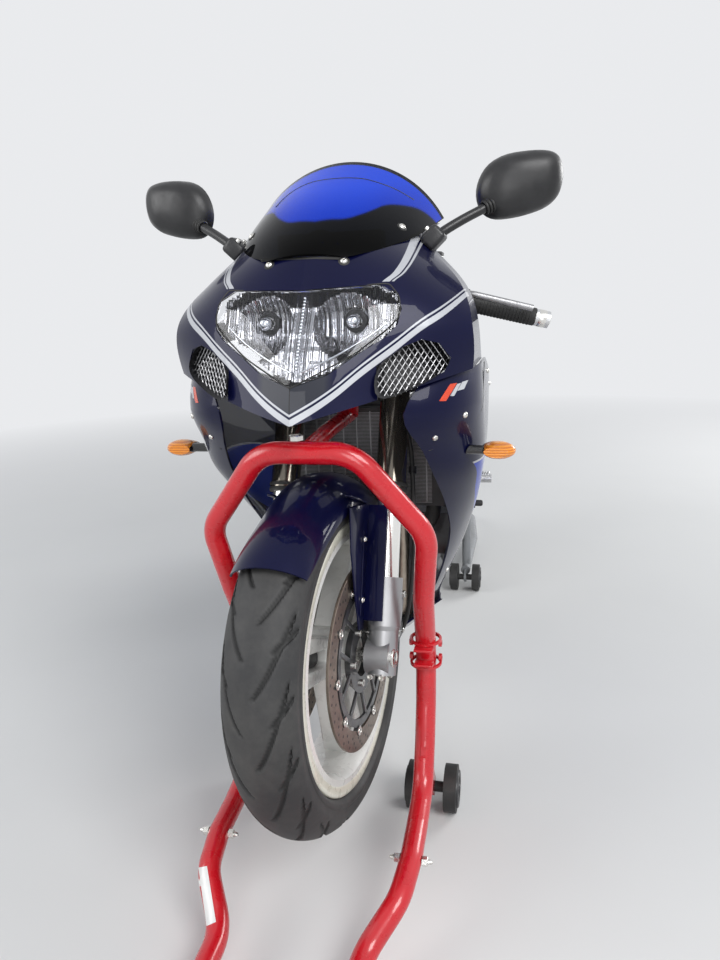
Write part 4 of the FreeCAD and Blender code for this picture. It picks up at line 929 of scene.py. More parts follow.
def make_controls():
    rings, weights, housings, pots, lids = [], [], [], [], []
    for side in (1, -1):
        for index in range(16):
            rib = turned([(0.0160, -0.0022), (0.0172, -0.0012), (0.0172, 0.0012), (0.0160, 0.0022)], 28)
            rings.append(placed(rib, bar_frame(side, 0.012 + index * 0.0062)))
        end = turned([(0, 0.028), (0.0105, 0.028), (0.0135, 0.025), (0.0160, 0.018), (0.0160, 0.006),
                      (0.0135, 0.002),
                      (0.0135, -0.001)], 36)
        weights.append(placed(end, bar_frame(side, 0)))
        case = block((0.044, 0.040, 0.046), 0.008, 3)
        housings.append(placed(case, bar_frame(side, 0.150)))
        body = block((0.046, 0.026, 0.030), 0.006, 2)
        housings.append(placed(body, bar_frame(side, 0.185) @ Matrix.Translation((0.026, 0, 0))))
        wheel = turned([(0.0, 0.034), (0.0180, 0.034), (0.0190, 0.032), (0.0175, 0.0), (0.0, 0.0)], 36)
        place = bar_frame(side, 0.200) @ Vector((0.040, 0, 0))
        pots.append(placed(wheel, Matrix.Translation(place + Vector((0, 0, 0.018)))))
        lid = turned([(0, 0.007), (0.016, 0.007), (0.0200, 0.004), (0.0200, 0)], 36)
        lids.append(placed(lid, Matrix.Translation(place + Vector((0, 0, 0.052)))))
    add_piece("grip_ribs", joined(rings), "rubber", "steering")
    add_piece("bar_end_weights", joined(weights), "steel", "steering")
    add_piece("switch_housings", joined(housings), "black", "steering", 50.0)
    add_piece("fluid_pots", joined(pots), "dial", "steering")
    add_piece("fluid_pot_lids", joined(lids), "black", "steering")
    for side, name in ((1, "left"), (-1, "right")):
        start = bar_frame(side, 0.165).translation + head_way(0, -0.3, -1) * 0.020
        points = [start, start + head_way(-side * 0.6, -0.2, -1) * 0.05, head_place(side * 120, -76, 600),
                  head_place(side * 70, -80, 560), head_place(side * 40, -52, 530)]
        hose("bar_cable_" + name, points, 0.0034, "rubber", "steering")


# Nose: lamp, screen, mirrors, dials and fasteners


def lamp_gasket():
    """The dark rubber line between the lens and the nose."""
    outline = [(0, 0.864), (0.083, 0.905), (0.128, 0.938), (0.147, 0.958), (0.146, 0.985), (0.128, 1.006),
               (0.065, 1.003)]
    loop = outline + [(0, 0.999)] + [(-x, z) for x, z in reversed(outline[1:])]
    points = []
    for (x, z), (far_x, far_z) in zip(loop, loop[1:] + loop[:1]):
        for share in (0.0, 0.25, 0.5, 0.75):
            aim = (x + (far_x - x) * share, -0.95, z + (far_z - z) * share)
            spot = struck(aim, (0, 1, 0), "headlamp", "nose_fairing")
            if spot:
                points.append(spot[0])
    hose("lamp_gasket", points + points[:1], 0.0012, "rubber", "chassis", 2)


def make_nose_details():
    lamp_gasket()
    # painted shade: a thin black line along the flip crease of the clear screen stands for the dark line
    # seen at the crease
    swept_line("screen_crease_shade_line", [(276, 207), (284, 198), (293, 191), (304, 185), (316, 181), (330, 179),
                                 (343, 178),
                                 (355, 178), (366, 179), (379, 183), (391, 187), (403, 193), (414, 200)],
               ["windscreen"], 0.0010, "black", "chassis")
    screws = [seen(344, 261, "nose_fairing"), seen(402, 227, "windscreen")]
    fasteners("screen_screws", both_sides(screws), 0.0062, 0.0042, "steel", "chassis", dome_bolt)
    washers = [(place, axis) for place, axis in both_sides(screws)]
    fasteners("screen_washers", washers, 0.0088, 0.0016, "rubber", "chassis", dome_bolt)
    cheek = [seen(465, 415, "fairing_panel_left"), seen(435, 438, "fairing_panel_left"),
             seen(429, 489, "fairing_panel_left") or struck((0.40, -0.62, 0.640), (-1, 0, 0),
                 "fairing_panel_left")]
    cheek = [spot for spot in cheek if spot]
    fasteners("cheek_screws", both_sides(cheek), 0.0052, 0.0034, "steel", "chassis", dome_bolt)
    flank = [struck((0.40, y * MM, z * MM), (-1, 0, 0), "fairing_panel_left")
             for y, z in ((-400, 842), (-250, 800), (-60, 760), (60, 600), (-120, 420), (-330, 400),
                          (-470, 480))]
    fasteners("flank_screws", both_sides([spot for spot in flank if spot]), 0.0052, 0.0034, "steel",
              "chassis", dome_bolt)
    for side, name in ((1, "left"), (-1, "right")):
        laid("side_mark_slash_" + name, [(439, 401), (450, 384), (457, 383), (446, 401)], SIDE_SKIN,
             "mark red",
             "chassis", side)
        laid("side_mark_bar_" + name, [(450, 396), (457, 384), (461, 383), (454, 396)], SIDE_SKIN,
             "mark silver",
             "chassis", side)
        laid("side_mark_tail_" + name, [(457, 391), (462, 382), (468, 380), (464, 389)], SIDE_SKIN,
             "mark silver",
             "chassis", side)


def make_mirrors():
    """Ribbed necks, foot blocks with bolts, and the silvered glass of each mirror."""
    necks, feet, glass, spots = [], [], [], []
    for side in (1, -1):
        start, end = Vector((side * 0.258, -0.5075, 1.126)), Vector((side * 0.292, -0.489, 1.1415))
        along = (end - start).normalized()
        for index in range(7):
            radius = 0.0120 + index * 0.0009
            rib = turned([(radius - 0.002, -0.0026), (radius, -0.0014), (radius, 0.0014),
                          (radius - 0.002, 0.0026)], 28)
            necks.append(placed(rib, aimed(start + along * (index * 0.0055), along)))
        foot = block((0.036, 0.046, 0.030), 0.007, 3)
        frame_here = Matrix.Translation((side * 0.176, -0.549, 1.079)) @ Matrix.Rotation(-side * 0.75, 4,
            "Y")
        feet.append(placed(foot, frame_here))
        for y in (-0.014, 0.014):
            spots.append((frame_here @ Vector((side * 0.002, y, 0.015)),
                          frame_here.to_3x3() @ Vector((0, 0, 1))))
        pane = plate([(x * MM * 0.90, z * MM * 0.90) for x, z in
                      ((-74, -14), (-62, 14), (-48, 34), (-20, 41), (20, 42), (46, 38), (57, 20),
                       (58, -6), (48, -32),
                       (24, -46), (-8, -51), (-50, -52), (-70, -38))], 0.0012, 0.0004)
        placed(pane, Matrix.Diagonal((side, 1, 1, 1)))
        turn = Matrix.Translation(Vector((side * 322, -480, 1168)) * MM) @ Matrix.Rotation(side
            * math.radians(12), 4, "Z")
        glass.append(placed(pane, turn @ Matrix.Translation((0, 0.0095, 0)) @ Matrix.Rotation(TURN / 4, 4,
            "X")))
    add_piece("mirror_necks", joined(necks), "rubber", "chassis")
    add_piece("mirror_feet", joined(feet), "black", "chassis", 50.0)
    fasteners("mirror_bolts", spots, 0.0050, 0.0045, "steel", "chassis")
    add_piece("mirror_panes", joined(glass), "mirror glass", "chassis")


def make_dials():
    faces, rings, ticks, needles = [], [], [], []
    for x, z, radius in ((-0.026, 1.069, 0.034), (0.046, 1.066, 0.028)):
        here = Matrix.Translation((x, -0.5292, z + 0.0015)) @ Matrix.Rotation(-TURN / 4, 4, "X")
        faces.append(placed(turned([(0, 0.0004), (radius - 0.003, 0.0004), (radius - 0.003, -0.001)], 48),
                            here))
        rings.append(placed(turned([(radius - 0.004, 0.0004), (radius - 0.003, 0.003), (radius, 0.003),
                                    (radius + 0.001, 0.0), (radius + 0.001, -0.006)], 48), here))
        for index in range(25):
            angle = math.radians(225 - index * 270 / 24)
            mark = block((0.0006 if index % 4 else 0.0012, 0.0025 if index % 4 else 0.0045, 0.0004))
            turn = Matrix.Rotation(angle - TURN / 4, 4, "Z")
            ticks.append(placed(mark, here @ turn @ Matrix.Translation((0, radius - 0.008, 0.0008))))
        needle = plate([(-0.0010, -0.006), (0.0010, -0.006), (0.0003, radius - 0.010),
                        (-0.0003, radius - 0.010)], 0.0006)
        needles.append(placed(needle, here @ Matrix.Rotation(math.radians(130), 4,
            "Z") @ Matrix.Translation((0, 0, 0.001))))
        needles.append(placed(turned([(0, 0.003), (0.0030, 0.003), (0.0038, 0.001), (0.0038, 0)], 24),
                              here))
    add_piece("dial_faces", joined(faces), "dial", "chassis")
    add_piece("dial_rings", joined(rings), "black", "chassis")
    add_piece("dial_ticks", joined(ticks), "black", "chassis")
    add_piece("dial_needles", joined(needles), "mark red", "chassis")


# Body: tank, seats, tail, engine bay


def padded_seat(name, cap, seam_rows):
    """A stuffed seat from its CAD form: remeshed, swelled by cloth pressure, then sewn in channels."""
    source = NODES[name]
    shape = bmesh.new()
    shape.from_mesh(source.data)
    bmesh.ops.remove_doubles(shape, verts=shape.verts, dist=1e-5)
    bmesh.ops.recalc_face_normals(shape, faces=shape.faces)
    middle = sum((vert.co for vert in shape.verts), Vector()) / len(shape.verts)
    for vert in shape.verts:
        vert.co = middle + (vert.co - middle) * 0.985
    mesh = bpy.data.meshes.new(name + "_pad")
    shape.to_mesh(mesh)
    shape.free()
    pad = bpy.data.objects.new(name + "_pad", mesh)
    bpy.context.scene.collection.objects.link(pad)
    remesh = pad.modifiers.new("voxels", "REMESH")
    remesh.mode = "VOXEL"
    remesh.voxel_size = 0.006
    bake(pad)
    start = [vert.co.copy() for vert in pad.data.vertices]
    low = min(point.z for point in start)
    cloth = pad.modifiers.new("cloth", "CLOTH")
    cloth.settings.use_pressure = True
    cloth.settings.uniform_pressure_force = 4.0
    cloth.settings.effector_weights.gravity = 0.0
    cloth.point_cache.frame_start = 1
    cloth.point_cache.frame_end = 20
    for step in range(1, 21):
        bpy.context.scene.frame_set(step)
    bake(pad)
    bpy.context.scene.frame_set(1)
    for vert, before in zip(pad.data.vertices, start):
        move = vert.co - before
        if move.length > cap:
            move *= cap / move.length
        firm = min(1.0, max(0.0, (before.z - low) / 0.02))
        sink = 0.0
        for row in seam_rows:
            sink = max(sink, math.exp(-((before.y - row) / 0.0045) ** 2))
        vert.co = before + move * firm - Vector((0, 0, 0.0038 * sink * firm))
    smooth = pad.modifiers.new("subdivision", "SUBSURF")
    smooth.levels = smooth.render_levels = 1
    bake(pad)
    for face in pad.data.polygons:
        face.use_smooth = True
    pad.data.materials.clear()
    pad.data.materials.append(FINISHES["vinyl"])
    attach(pad, "chassis")
    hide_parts(name)


def bake(piece):
    """Applies a piece's modifiers to its mesh."""
    view = bpy.context.view_layer
    view.update()
    done = bpy.data.meshes.new_from_object(piece.evaluated_get(view.depsgraph))
    piece.modifiers.clear()
    piece.data = done


def make_body():
    padded_seat("rider_seat", 0.006, (0.235, 0.345))
    padded_seat("pillion_seat", 0.005, (0.500, 0.570))
    here = Matrix.Translation((0, -0.150, 1.0470))
    cap = turned([(0, 0.0060), (0.0240, 0.0060), (0.0255, 0.0045), (0.0275, 0.0045), (0.0290, 0.0060),
                  (0.0340, 0.0055),
                  (0.0375, 0.0025), (0.0380, -0.004)], 64)
    add_piece("filler_cap", placed(cap, here), "alloy", "chassis")
    rim = [(here @ Vector((0.0325 * math.cos(i * TURN / 7), 0.0325 * math.sin(i * TURN / 7), 0.0052)),
            (0, 0, 1))
           for i in range(7)]
    fasteners("filler_screws", rim, 0.0026, 0.0022, "steel", "chassis")
    cover = joined([block((0.030, 0.013, 0.004), 0.0015, 2)])
    add_piece("filler_key_cover", placed(cover, here @ Matrix.Translation((0, 0.004, 0.0072))), "black",
              "chassis")
    lens = [placed(block((0.062, 0.003, 0.0044), 0.0012, 2), Matrix.Translation((0, 0.9165,
        0.9555 + i * 0.0058)))
            for i in range(5)]
    add_piece("tail_lamp_ribs", joined(lens), "tail red", "chassis")
    number = block((0.150, 0.003, 0.105), 0.001, 2)
    turn = Matrix.Translation((0, 1.0215, 0.640)) @ Matrix.Rotation(math.radians(-14), 4, "X")
    add_piece("blank_plate", placed(number, turn), "label", "chassis")


def make_engine_details():
    bolts = []
    for side, y, z, radius, reach in ((1, -130, 452, 66, 148), (-1, -60, 452, 74, 144),
                                      (-1, -225, 470, 40, 150)):
        for index in range(8):
            angle = index * TURN / 8 + 0.2
            bolts.append((Vector((side * reach, y + (radius - 8) * math.cos(angle),
                                  z + (radius - 8) * math.sin(angle))) * MM,
                          (side, 0, 0)))
    fasteners("cover_bolts", bolts, 0.0050, 0.0060, "steel", "chassis")
    fins = []
    for index in range(66):
        z = (0.582 + index * 0.00282)
        fins.append(placed(block((0.300, 0.0030, 0.0009)), Matrix.Translation((0, -0.4260, z))))
    for index in range(11):
        fins.append(placed(block((0.0020, 0.0034, 0.186)), Matrix.Translation((-0.14 + index * 0.028,
            -0.4262, 0.675))))
    add_piece("radiator_fins", joined(fins), "lever", "chassis")
    hose("radiator_hose_left", [Vector(p) * MM for p in ((150, -406, 590), (152, -404, 560),
                                                         (140, -380, 520),
                                                         (110, -340, 500), (92, -300, 500))], 0.015,
                                                         "rubber", "chassis", 6)
    hose("radiator_hose_right", [Vector(p) * MM for p in ((-150, -404, 764), (-150, -380, 784),
                                                          (-120, -330, 760),
                                                          (-96, -280, 690), (-80, -250, 655))], 0.015,
                                                          "rubber",
         "chassis", 6)
    can = turned([(0, 0.078), (0.022, 0.078), (0.030, 0.074), (0.034, 0.066), (0.034, 0.004),
                  (0.036, 0.0)], 40)
    add_piece("oil_filter", placed(can, aimed(Vector((0.0, -0.300, 0.420)), (0, -1, 0))), "black",
              "chassis")
    foot, top = Vector((0, 0.238, 0.4483)), Vector((0, 0.205, 0.6157))
    along = (top - foot).normalized()
    base = foot - along * 0.003
    turn = aimed(base, along)
    points = []
    turns, steps = 6.5, 16
    for index in range(int(turns * steps) + 1):
        share = index / (turns * steps)
        angle = index * TURN / steps
        points.append(turn @ Vector((0.0275 * math.cos(angle), 0.0275 * math.sin(angle),
                                     0.023 + share * 0.113)))
    hose("shock_spring", points, 0.0048, "spring", "chassis")


def chain_line():
    """The chain's middle line: (y, z, angle) at even steps round both sprockets."""
    big, small = (REAR_AXLE.y, REAR_AXLE.z, 0.106), (PIVOT.y - 0.075, PIVOT.z, 0.038)
    span = math.hypot(big[0] - small[0], big[1] - small[1])
    tilt = math.atan2(big[1] - small[1], big[0] - small[0])
    lean = math.asin((big[2] - small[2]) / span)
    corners = []
    for way in (1, -1):
        angle = tilt + way * (TURN / 4 + lean)
        corners.append(((small[0] + small[2] * math.cos(angle), small[1] + small[2] * math.sin(angle)),
                        (big[0] + big[2] * math.cos(angle), big[1] + big[2] * math.sin(angle)), angle))
    points = []
    upper, lower = corners
    for share in range(41):
        points.append(Vector(upper[0]).lerp(Vector(upper[1]), share / 40))
    start = math.atan2(upper[1][1] - big[1], upper[1][0] - big[0])
    sweep = TURN / 2 + 2 * lean
    for share in range(1, 24):
        angle = start - sweep * share / 24
        points.append(Vector((big[0] + big[2] * math.cos(angle), big[1] + big[2] * math.sin(angle))))
    for share in range(41):
        points.append(Vector(lower[1]).lerp(Vector(lower[0]), share / 40))
    start = math.atan2(lower[0][1] - small[1], lower[0][0] - small[0])
    sweep = TURN / 2 - 2 * lean
    for share in range(1, 12):
        angle = start - sweep * share / 12
        points.append(Vector((small[0] + small[2] * math.cos(angle),
                              small[1] + small[2] * math.sin(angle))))
    return points


def make_chain():
    """Link plates on both sides of the chain loop, laid end to end at an even pitch."""
    line = chain_line()
    reach = [0.0]
    for first, second in zip(line, line[1:] + line[:1]):
        reach.append(reach[-1] + (second - first).length)
    count = 2 * int(reach[-1] / 0.0318)
    pitch = reach[-1] / count

    def at(distance):
        distance %= reach[-1]
        for index in range(len(line)):
            if reach[index + 1] >= distance:
                share = (distance - reach[index]) / max(1e-9, reach[index + 1] - reach[index])
                return line[index].lerp(line[(index + 1) % len(line)], share)
        return line[0]

    links = []
    half, waist = 0.0062, 0.0042
    for index in range(count):
        first, second = at(index * pitch), at((index + 1) * pitch)
        middle, along = (first + second) / 2, (second - first).normalized()
        angle = math.atan2(along.y, along.x)
        proud = 0.0102 if index % 2 else 0.0088
        for side in (1, -1):
            outline = [(-pitch * 0.5 - half * 0.9, 0), (-pitch * 0.5 - half * 0.5, half),
                       (-pitch * 0.28, half), (0, waist),
                       (pitch * 0.28, half), (pitch * 0.5 + half * 0.5, half),
                       (pitch * 0.5 + half * 0.9, 0),
                       (pitch * 0.5 + half * 0.5, -half), (pitch * 0.28, -half), (0, -waist),
                       (-pitch * 0.28, -half),
                       (-pitch * 0.5 - half * 0.5, -half)]
            link = plate(outline, 0.0014)
            turn = Matrix(((0, 0, 1, 0), (1, 0, 0, 0), (0, 1, 0, 0), (0, 0, 0, 1)))
            here = Matrix.Translation((0.108 + side * proud - 0.0007, middle.x,
                                       middle.y)) @ Matrix.Rotation(angle, 4, "X")
            links.append(placed(link, here @ turn))
    add_piece("chain_plates", joined(links), "gold", "chassis", 30.0)


def make_exhaust():
    front, rear = Vector((-186, 345, 412)) * MM, Vector((-216, 815, 586)) * MM
    along = (rear - front).normalized()
    bands, rivets = [], []
    for distance in (0.050, 0.440):
        band = turned([(0.0518, -0.011), (0.0530, -0.010), (0.0530, 0.010), (0.0518, 0.011)], 72)
        bands.append(placed(band, aimed(front + along * distance, along)))
        for index in range(10):
            turn = aimed(front + along * distance, along) @ Matrix.Rotation(index * TURN / 10, 4, "Z")
            rivets.append((turn @ Vector((0.0530, 0, 0)), turn.to_3x3() @ Vector((1, 0, 0))))
    strap = turned([(0.0525, -0.014), (0.0540, -0.013), (0.0540, 0.013), (0.0525, 0.014)], 72)
    add_piece("silencer_bands", joined(bands), "steel", "chassis")
    add_piece("silencer_strap", placed(strap, aimed(front + along * 0.27, along)), "black", "chassis")
    fasteners("silencer_rivets", rivets, 0.0030, 0.0016, "steel", "chassis", dome_bolt)
    core = turned([(0.0205, -0.060), (0.0205, 0.004), (0.0220, 0.006), (0.0235, 0.004), (0.0235, -0.010)],
                  48)
    add_piece("silencer_outlet", placed(core, aimed(front + along * 0.488, along)), "steel", "chassis")


def make_foot_controls():
    """Brake pedal, gear lever, their pivots and the peg rubbers."""
    for side, name in ((-1, "brake"), (1, "gear")):
        pivot = Vector((side * 0.163, 0.240, 0.412))
        toe = pivot + Vector((side * 0.018, -0.150, 0.020))
        hose(name + "_pedal", [pivot, pivot + Vector((side * 0.010, -0.05, -0.006)),
                               toe - Vector((0, -0.03, 0)), toe],
             0.0060, "alloy", "chassis")
        pad = turned([(0, 0.040), (0.0065, 0.039), (0.0085, 0.035), (0.0085, 0.004), (0.0065, 0)], 24)
        add_piece(name + "_toe_piece", placed(pad, aimed(toe, (side, 0, 0))), "rubber", "chassis")
        boss = turned([(0, 0.008), (0.006, 0.008), (0.007, 0.005), (0.013, 0.005), (0.014, 0.0),
                       (0.014, -0.008)], 32)
        add_piece(name + "_pivot", placed(boss, aimed(pivot, (side, 0, 0))), "steel", "chassis")
    ribs = []
    for side in (1, -1):
        for index in range(9):
            rib = turned([(0.0108, -0.003), (0.0122, -0.0018), (0.0122, 0.0018), (0.0108, 0.003)], 24)
            ribs.append(placed(rib, aimed(Vector((side * (0.172 + index * 0.0072), 0.222, 0.478)),
                                          (1, 0, 0))))
    add_piece("peg_ribs", joined(ribs), "alloy", "chassis")


# Forms that the plain solids lack: each piece stands for its CAD node


def arc_points(start, bulge, end, steps):
    """Points along the arc through three points, without its first point."""
    first, second = bulge - start, end - start
    normal = first.cross(second)
    if normal.length < 1e-12:
        return [start.lerp(end, index / steps) for index in range(1, steps + 1)]
    scale = 2 * normal.length_squared
    centre = start + (first.length_squared * second.cross(normal) + second.length_squared
                      * normal.cross(first)) / scale
    arm, axis = start - centre, normal.normalized()
    side = axis.cross(arm)
    sweep = math.atan2((end - centre).dot(side), (end - centre).dot(arm)) % TURN
    return [centre + arm * math.cos(sweep * index / steps) + side * math.sin(sweep * index / steps)
            for index in range(1, steps + 1)]


def lofted(rows, closed=False):
    """A skin through rows of as many points each."""
    shape = bmesh.new()
    loops = []
    for row in rows:
        verts = [shape.verts.new(point) for point in row]
        pairs = list(zip(verts, verts[1:])) + ([(verts[-1], verts[0])] if closed else [])
        loops.append([shape.edges.new(pair) for pair in pairs])
    for first, second in zip(loops, loops[1:]):
        bmesh.ops.bridge_loops(shape, edges=first + second)
    return shape


def bisected(shape, place, normal, faces=None):
    """Cuts away what lies on the normal's side of a plane."""
    faces = shape.faces[:] if faces is None else faces
    edges = {edge for face in faces for edge in face.edges}
    verts = {vert for face in faces for vert in face.verts}
    bmesh.ops.bisect_plane(shape, geom=faces + list(edges) + list(verts), plane_co=place, plane_no=normal,
                           clear_outer=True)
    return shape


def walled(shape, wall):
    """Gives an open skin its wall, inward of its faces."""
    bmesh.ops.remove_doubles(shape, verts=shape.verts, dist=1e-6)
    bmesh.ops.solidify(shape, geom=shape.faces[:], thickness=wall)
    return shape


SIDE_SLICES = [
    # z, x and y of the front edge, the turn, the widest place, the flank and the rear edge
    (880, 190, -690, 232, -650, 256, -560, 250, -250, 224, 100),
    (812, 150, -742, 222, -690, 259, -556, 252, -235, 219, 95),
    (745, 170, -688, 230, -636, 261, -540, 249, -222, 214, 90),
    (690, 182, -636, 238, -590, 257, -520, 244, -210, 207, 85),
    (620, 192, -560, 232, -510, 245, -440, 234, -195, 198, 78),
    (540, 192, -476, 214, -424, 225, -352, 217, -172, 186, 70),
    (450, 172, -410, 189, -350, 196, -290, 190, -150, 168, 58),
    (360, 140, -352, 152, -302, 157, -250, 154, -130, 140, 30),
    (285, 104, -310, 116, -268, 121, -220, 119, -120, 110, 10),
]
VENT = [(-236, 690), (-150, 735), (-20, 700), (10, 640), (-70, 560), (-190, 575)]


def smoothed_rows(rows, between):
    """Rows of numbers with more rows on smooth curves between them."""
    done = []
    for index in range(len(rows) - 1):
        a, b = rows[max(0, index - 1)], rows[index]
        c, d = rows[index + 1], rows[min(len(rows) - 1, index + 2)]
        for step in range(between):
            t = step / between
            done.append([0.5 * (2 * q + (r - p) * t + (2 * p - 5 * q + 4 * r - w) * t * t
                                + (3 * q - p - 3 * r + w) * t ** 3) for p, q, r, w in zip(a, b, c, d)])
    done.append(list(rows[-1]))
    return done


def make_side_fairings():
    rows = []
    for z, *numbers in smoothed_rows(SIDE_SLICES, 4):
        front, turn, widest, flank, rear = [Vector((numbers[i], numbers[i + 1], z)) * MM for i in range(0,
            10, 2)]
        rows.append([front] + arc_points(front, turn, widest, 12) + arc_points(widest, flank, rear, 20))
    for side, name in ((1, "left"), (-1, "right")):
        shape = lofted(rows)
        bmesh.ops.recalc_face_normals(shape, faces=shape.faces)
        if sum(face.normal.x * face.calc_area() for face in shape.faces) < 0:
            bmesh.ops.reverse_faces(shape, faces=shape.faces)
        bisected(shape, Vector((0, -430, 866)) * MM, Vector((0, 0.2174, 0.976)))
        ahead = [face for face in shape.faces if face.calc_center_median().y < -0.43]
        bisected(shape, Vector((0, -0.6, 0.8105)), Vector((-0.238, 0, 0.971)), ahead)
        walled(shape, 0.004)
        shape.faces.ensure_lookup_table()
        if side < 0:
            bmesh.ops.scale(shape, vec=(-1, 1, 1), verts=shape.verts)
            bmesh.ops.reverse_faces(shape, faces=shape.faces)
        piece = add_piece("fairing_panel_" + name, shape, "side", "chassis", 40.0, outward=False)
        cutter = plate([(y * MM, z * MM) for y, z in VENT], 0.2, 0.012)
        placed(cutter, Matrix(((0, 0, side, side * 0.12), (1, 0, 0, 0), (0, 1, 0, 0), (0, 0, 0, 1))))
        cut_out(piece, cutter)
        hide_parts("side_fairing_" + name)
        here = "fairing_panel_" + name
        seam = []
        for index in range(13):
            share = index / 12
            spot = struck((side * 0.5, -0.700 + 0.220 * share, 0.7315 + 0.1485 * share), (-side, 0, 0),
                          here)
            if spot:
                seam.append(spot[0])
        if len(seam) > 3:
            hose("fairing_seam_" + name, seam, 0.0009, "rubber", "chassis", 2)


def cut_out(piece, cutter):
    """Cuts a shape out of a piece."""
    bmesh.ops.recalc_face_normals(cutter, faces=cutter.faces)
    mesh = bpy.data.meshes.new("cutter")
    cutter.to_mesh(mesh)
    cutter.free()
    tool = bpy.data.objects.new("cutter", mesh)
    bpy.context.scene.collection.objects.link(tool)
    cut = piece.modifiers.new("cut", "BOOLEAN")
    cut.operation = "DIFFERENCE"
    cut.solver = "EXACT"
    cut.object = tool
    bake(piece)
    bpy.data.objects.remove(tool)


GUARD_RADIUS, GUARD_HALF, GUARD_WALL = 0.318, 0.068, 0.0025
GUARD_FRONT, GUARD_REAR = 65.0, -44.0


def make_mudguard():
    """A crowned shell over the tyre, drawn in at its tip, with side plates down in front of the fork."""
    rows = []
    steps = 44
    for index in range(steps + 1):
        angle = math.radians(GUARD_FRONT + (GUARD_REAR - GUARD_FRONT) * index / steps)
        tip = max(0.0, (math.degrees(angle) - 38) / (GUARD_FRONT - 38))
        low = 0.258 + 0.022 * tip ** 2
        dip = max(0.0, 1 - abs(math.degrees(angle) - 43) / 24)
        dip = dip * dip * (3 - 2 * dip)
        half = GUARD_HALF - 0.006 * tip ** 2 - 0.002 * dip
        edge = 0.272 + 0.012 * tip ** 2 - 0.012 * dip
        crown = GUARD_RADIUS - 0.003 * tip ** 2 - 0.0115 * dip
        row = [Vector((-half, 0, low)), Vector((-half, 0, edge))]
        row += arc_points(Vector((-half, 0, edge)), Vector((0, 0, crown)), Vector((half, 0, edge)), 24)
        row.append(Vector((half, 0, low)))
        turn = Matrix.Rotation(angle, 3, "X")
        rows.append([turn @ point for point in row])
    shell = lofted(rows)
    bmesh.ops.recalc_face_normals(shell, faces=shell.faces)
    outward = sum((face.normal.y * face.calc_center_median().y + face.normal.z
                   * face.calc_center_median().z)
                  for face in shell.faces)
    if outward < 0:
        bmesh.ops.reverse_faces(shell, faces=shell.faces)
    walled(shell, GUARD_WALL)
    arms = [shell]
    for side in (1, -1):
        outline = [(-30, 262), (-128, 240), (-112, 170), (-84, 110), (-52, 44), (-30, 44)]
        arm = plate([(y * MM, z * MM) for y, z in outline], 0.003, 0.0008)
        arms.append(placed(arm, Matrix(((0, 0, side, side * 0.073), (1, 0, 0, 0), (0, 1, 0, 0),
                                        (0, 0, 0, 1)))))
        shelf = block((0.0115, 0.098, 0.003), 0.0008)
        arms.append(placed(shelf, Matrix.Translation((side * 0.0700, -0.079, 0.2600))))
        apron = block((0.036, 0.003, 0.198), 0.0008)
        arms.append(placed(apron, Matrix.Translation((side * 0.0910, -0.0315, 0.159))))
    whole = placed(joined(arms), FRONT_WHEEL)
    piece = add_piece("mudguard_shell", whole, "navy", "steering", 40.0, outward=False)
    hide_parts("front_mudguard")


def spoke(width_root, width_tip, thick, slot_half, slot_low, slot_high):
    """A hollow-sided spoke standing along Z from the hub to the barrel, slotted through."""
    low, high = 0.034, 0.2035
    middle = (slot_low + slot_high) / 2
    outer, inner = [], []
    count = 48
    for index in range(count):
        angle = index * TURN / count
        y, z = math.sin(angle), math.cos(angle)
        reach = 1e9
        if z > 1e-6:
            reach = min(reach, (high - middle) / z)
        if z < -1e-6:
            reach = min(reach, (low - middle) / z)
        slope = (width_tip - width_root) / 2 / (high - low)
        for side in (1, -1):
            rate = side * y - slope * z
            if rate > 1e-6:
                reach = min(reach, (width_root / 2 + slope * (middle - low)) / rate)
        outer.append((y * reach, middle + z * reach))
        half = (slot_high - slot_low) / 2 - slot_half * 0.6
        step = 1e9
        for offset in (half, -half):
            b, c = -offset * z, offset * offset - slot_half * slot_half
            if b * b - c > 0:
                root = -b + math.sqrt(b * b - c)
                if root > 0 and (offset > 0) == (z > 0) and abs(root * z) >= abs(offset) * 0.98:
                    step = min(step, root)
        if abs(y) > 1e-6:
            step = min(step, slot_half / abs(y))
        inner.append((y * step, middle + z * step))
    shape = bmesh.new()
    rings = []
    for outline in (outer, inner):
        verts = [shape.verts.new((0, y, z)) for y, z in outline]
        rings.append([shape.edges.new(pair) for pair in zip(verts, verts[1:] + verts[:1])])
    made = bmesh.ops.bridge_loops(shape, edges=rings[0] + rings[1])
    grown = bmesh.ops.extrude_face_region(shape, geom=made["faces"])
    lifted = [item for item in grown["geom"] if isinstance(item, bmesh.types.BMVert)]
    bmesh.ops.translate(shape, verts=lifted, vec=(thick, 0, 0))
    bmesh.ops.translate(shape, verts=shape.verts, vec=(-thick / 2, 0, 0))
    bmesh.ops.recalc_face_normals(shape, faces=shape.faces)
    sharp = [edge for edge in shape.edges if len(edge.link_faces) == 2
             and edge.calc_face_angle() > 1.0 and abs(edge.verts[0].co.x - edge.verts[1].co.x) < 1e-6]
    bmesh.ops.bevel(shape, geom=sharp, offset=0.0035, segments=3, profile=0.5, affect="EDGES",
                    material=-1)
    return shape


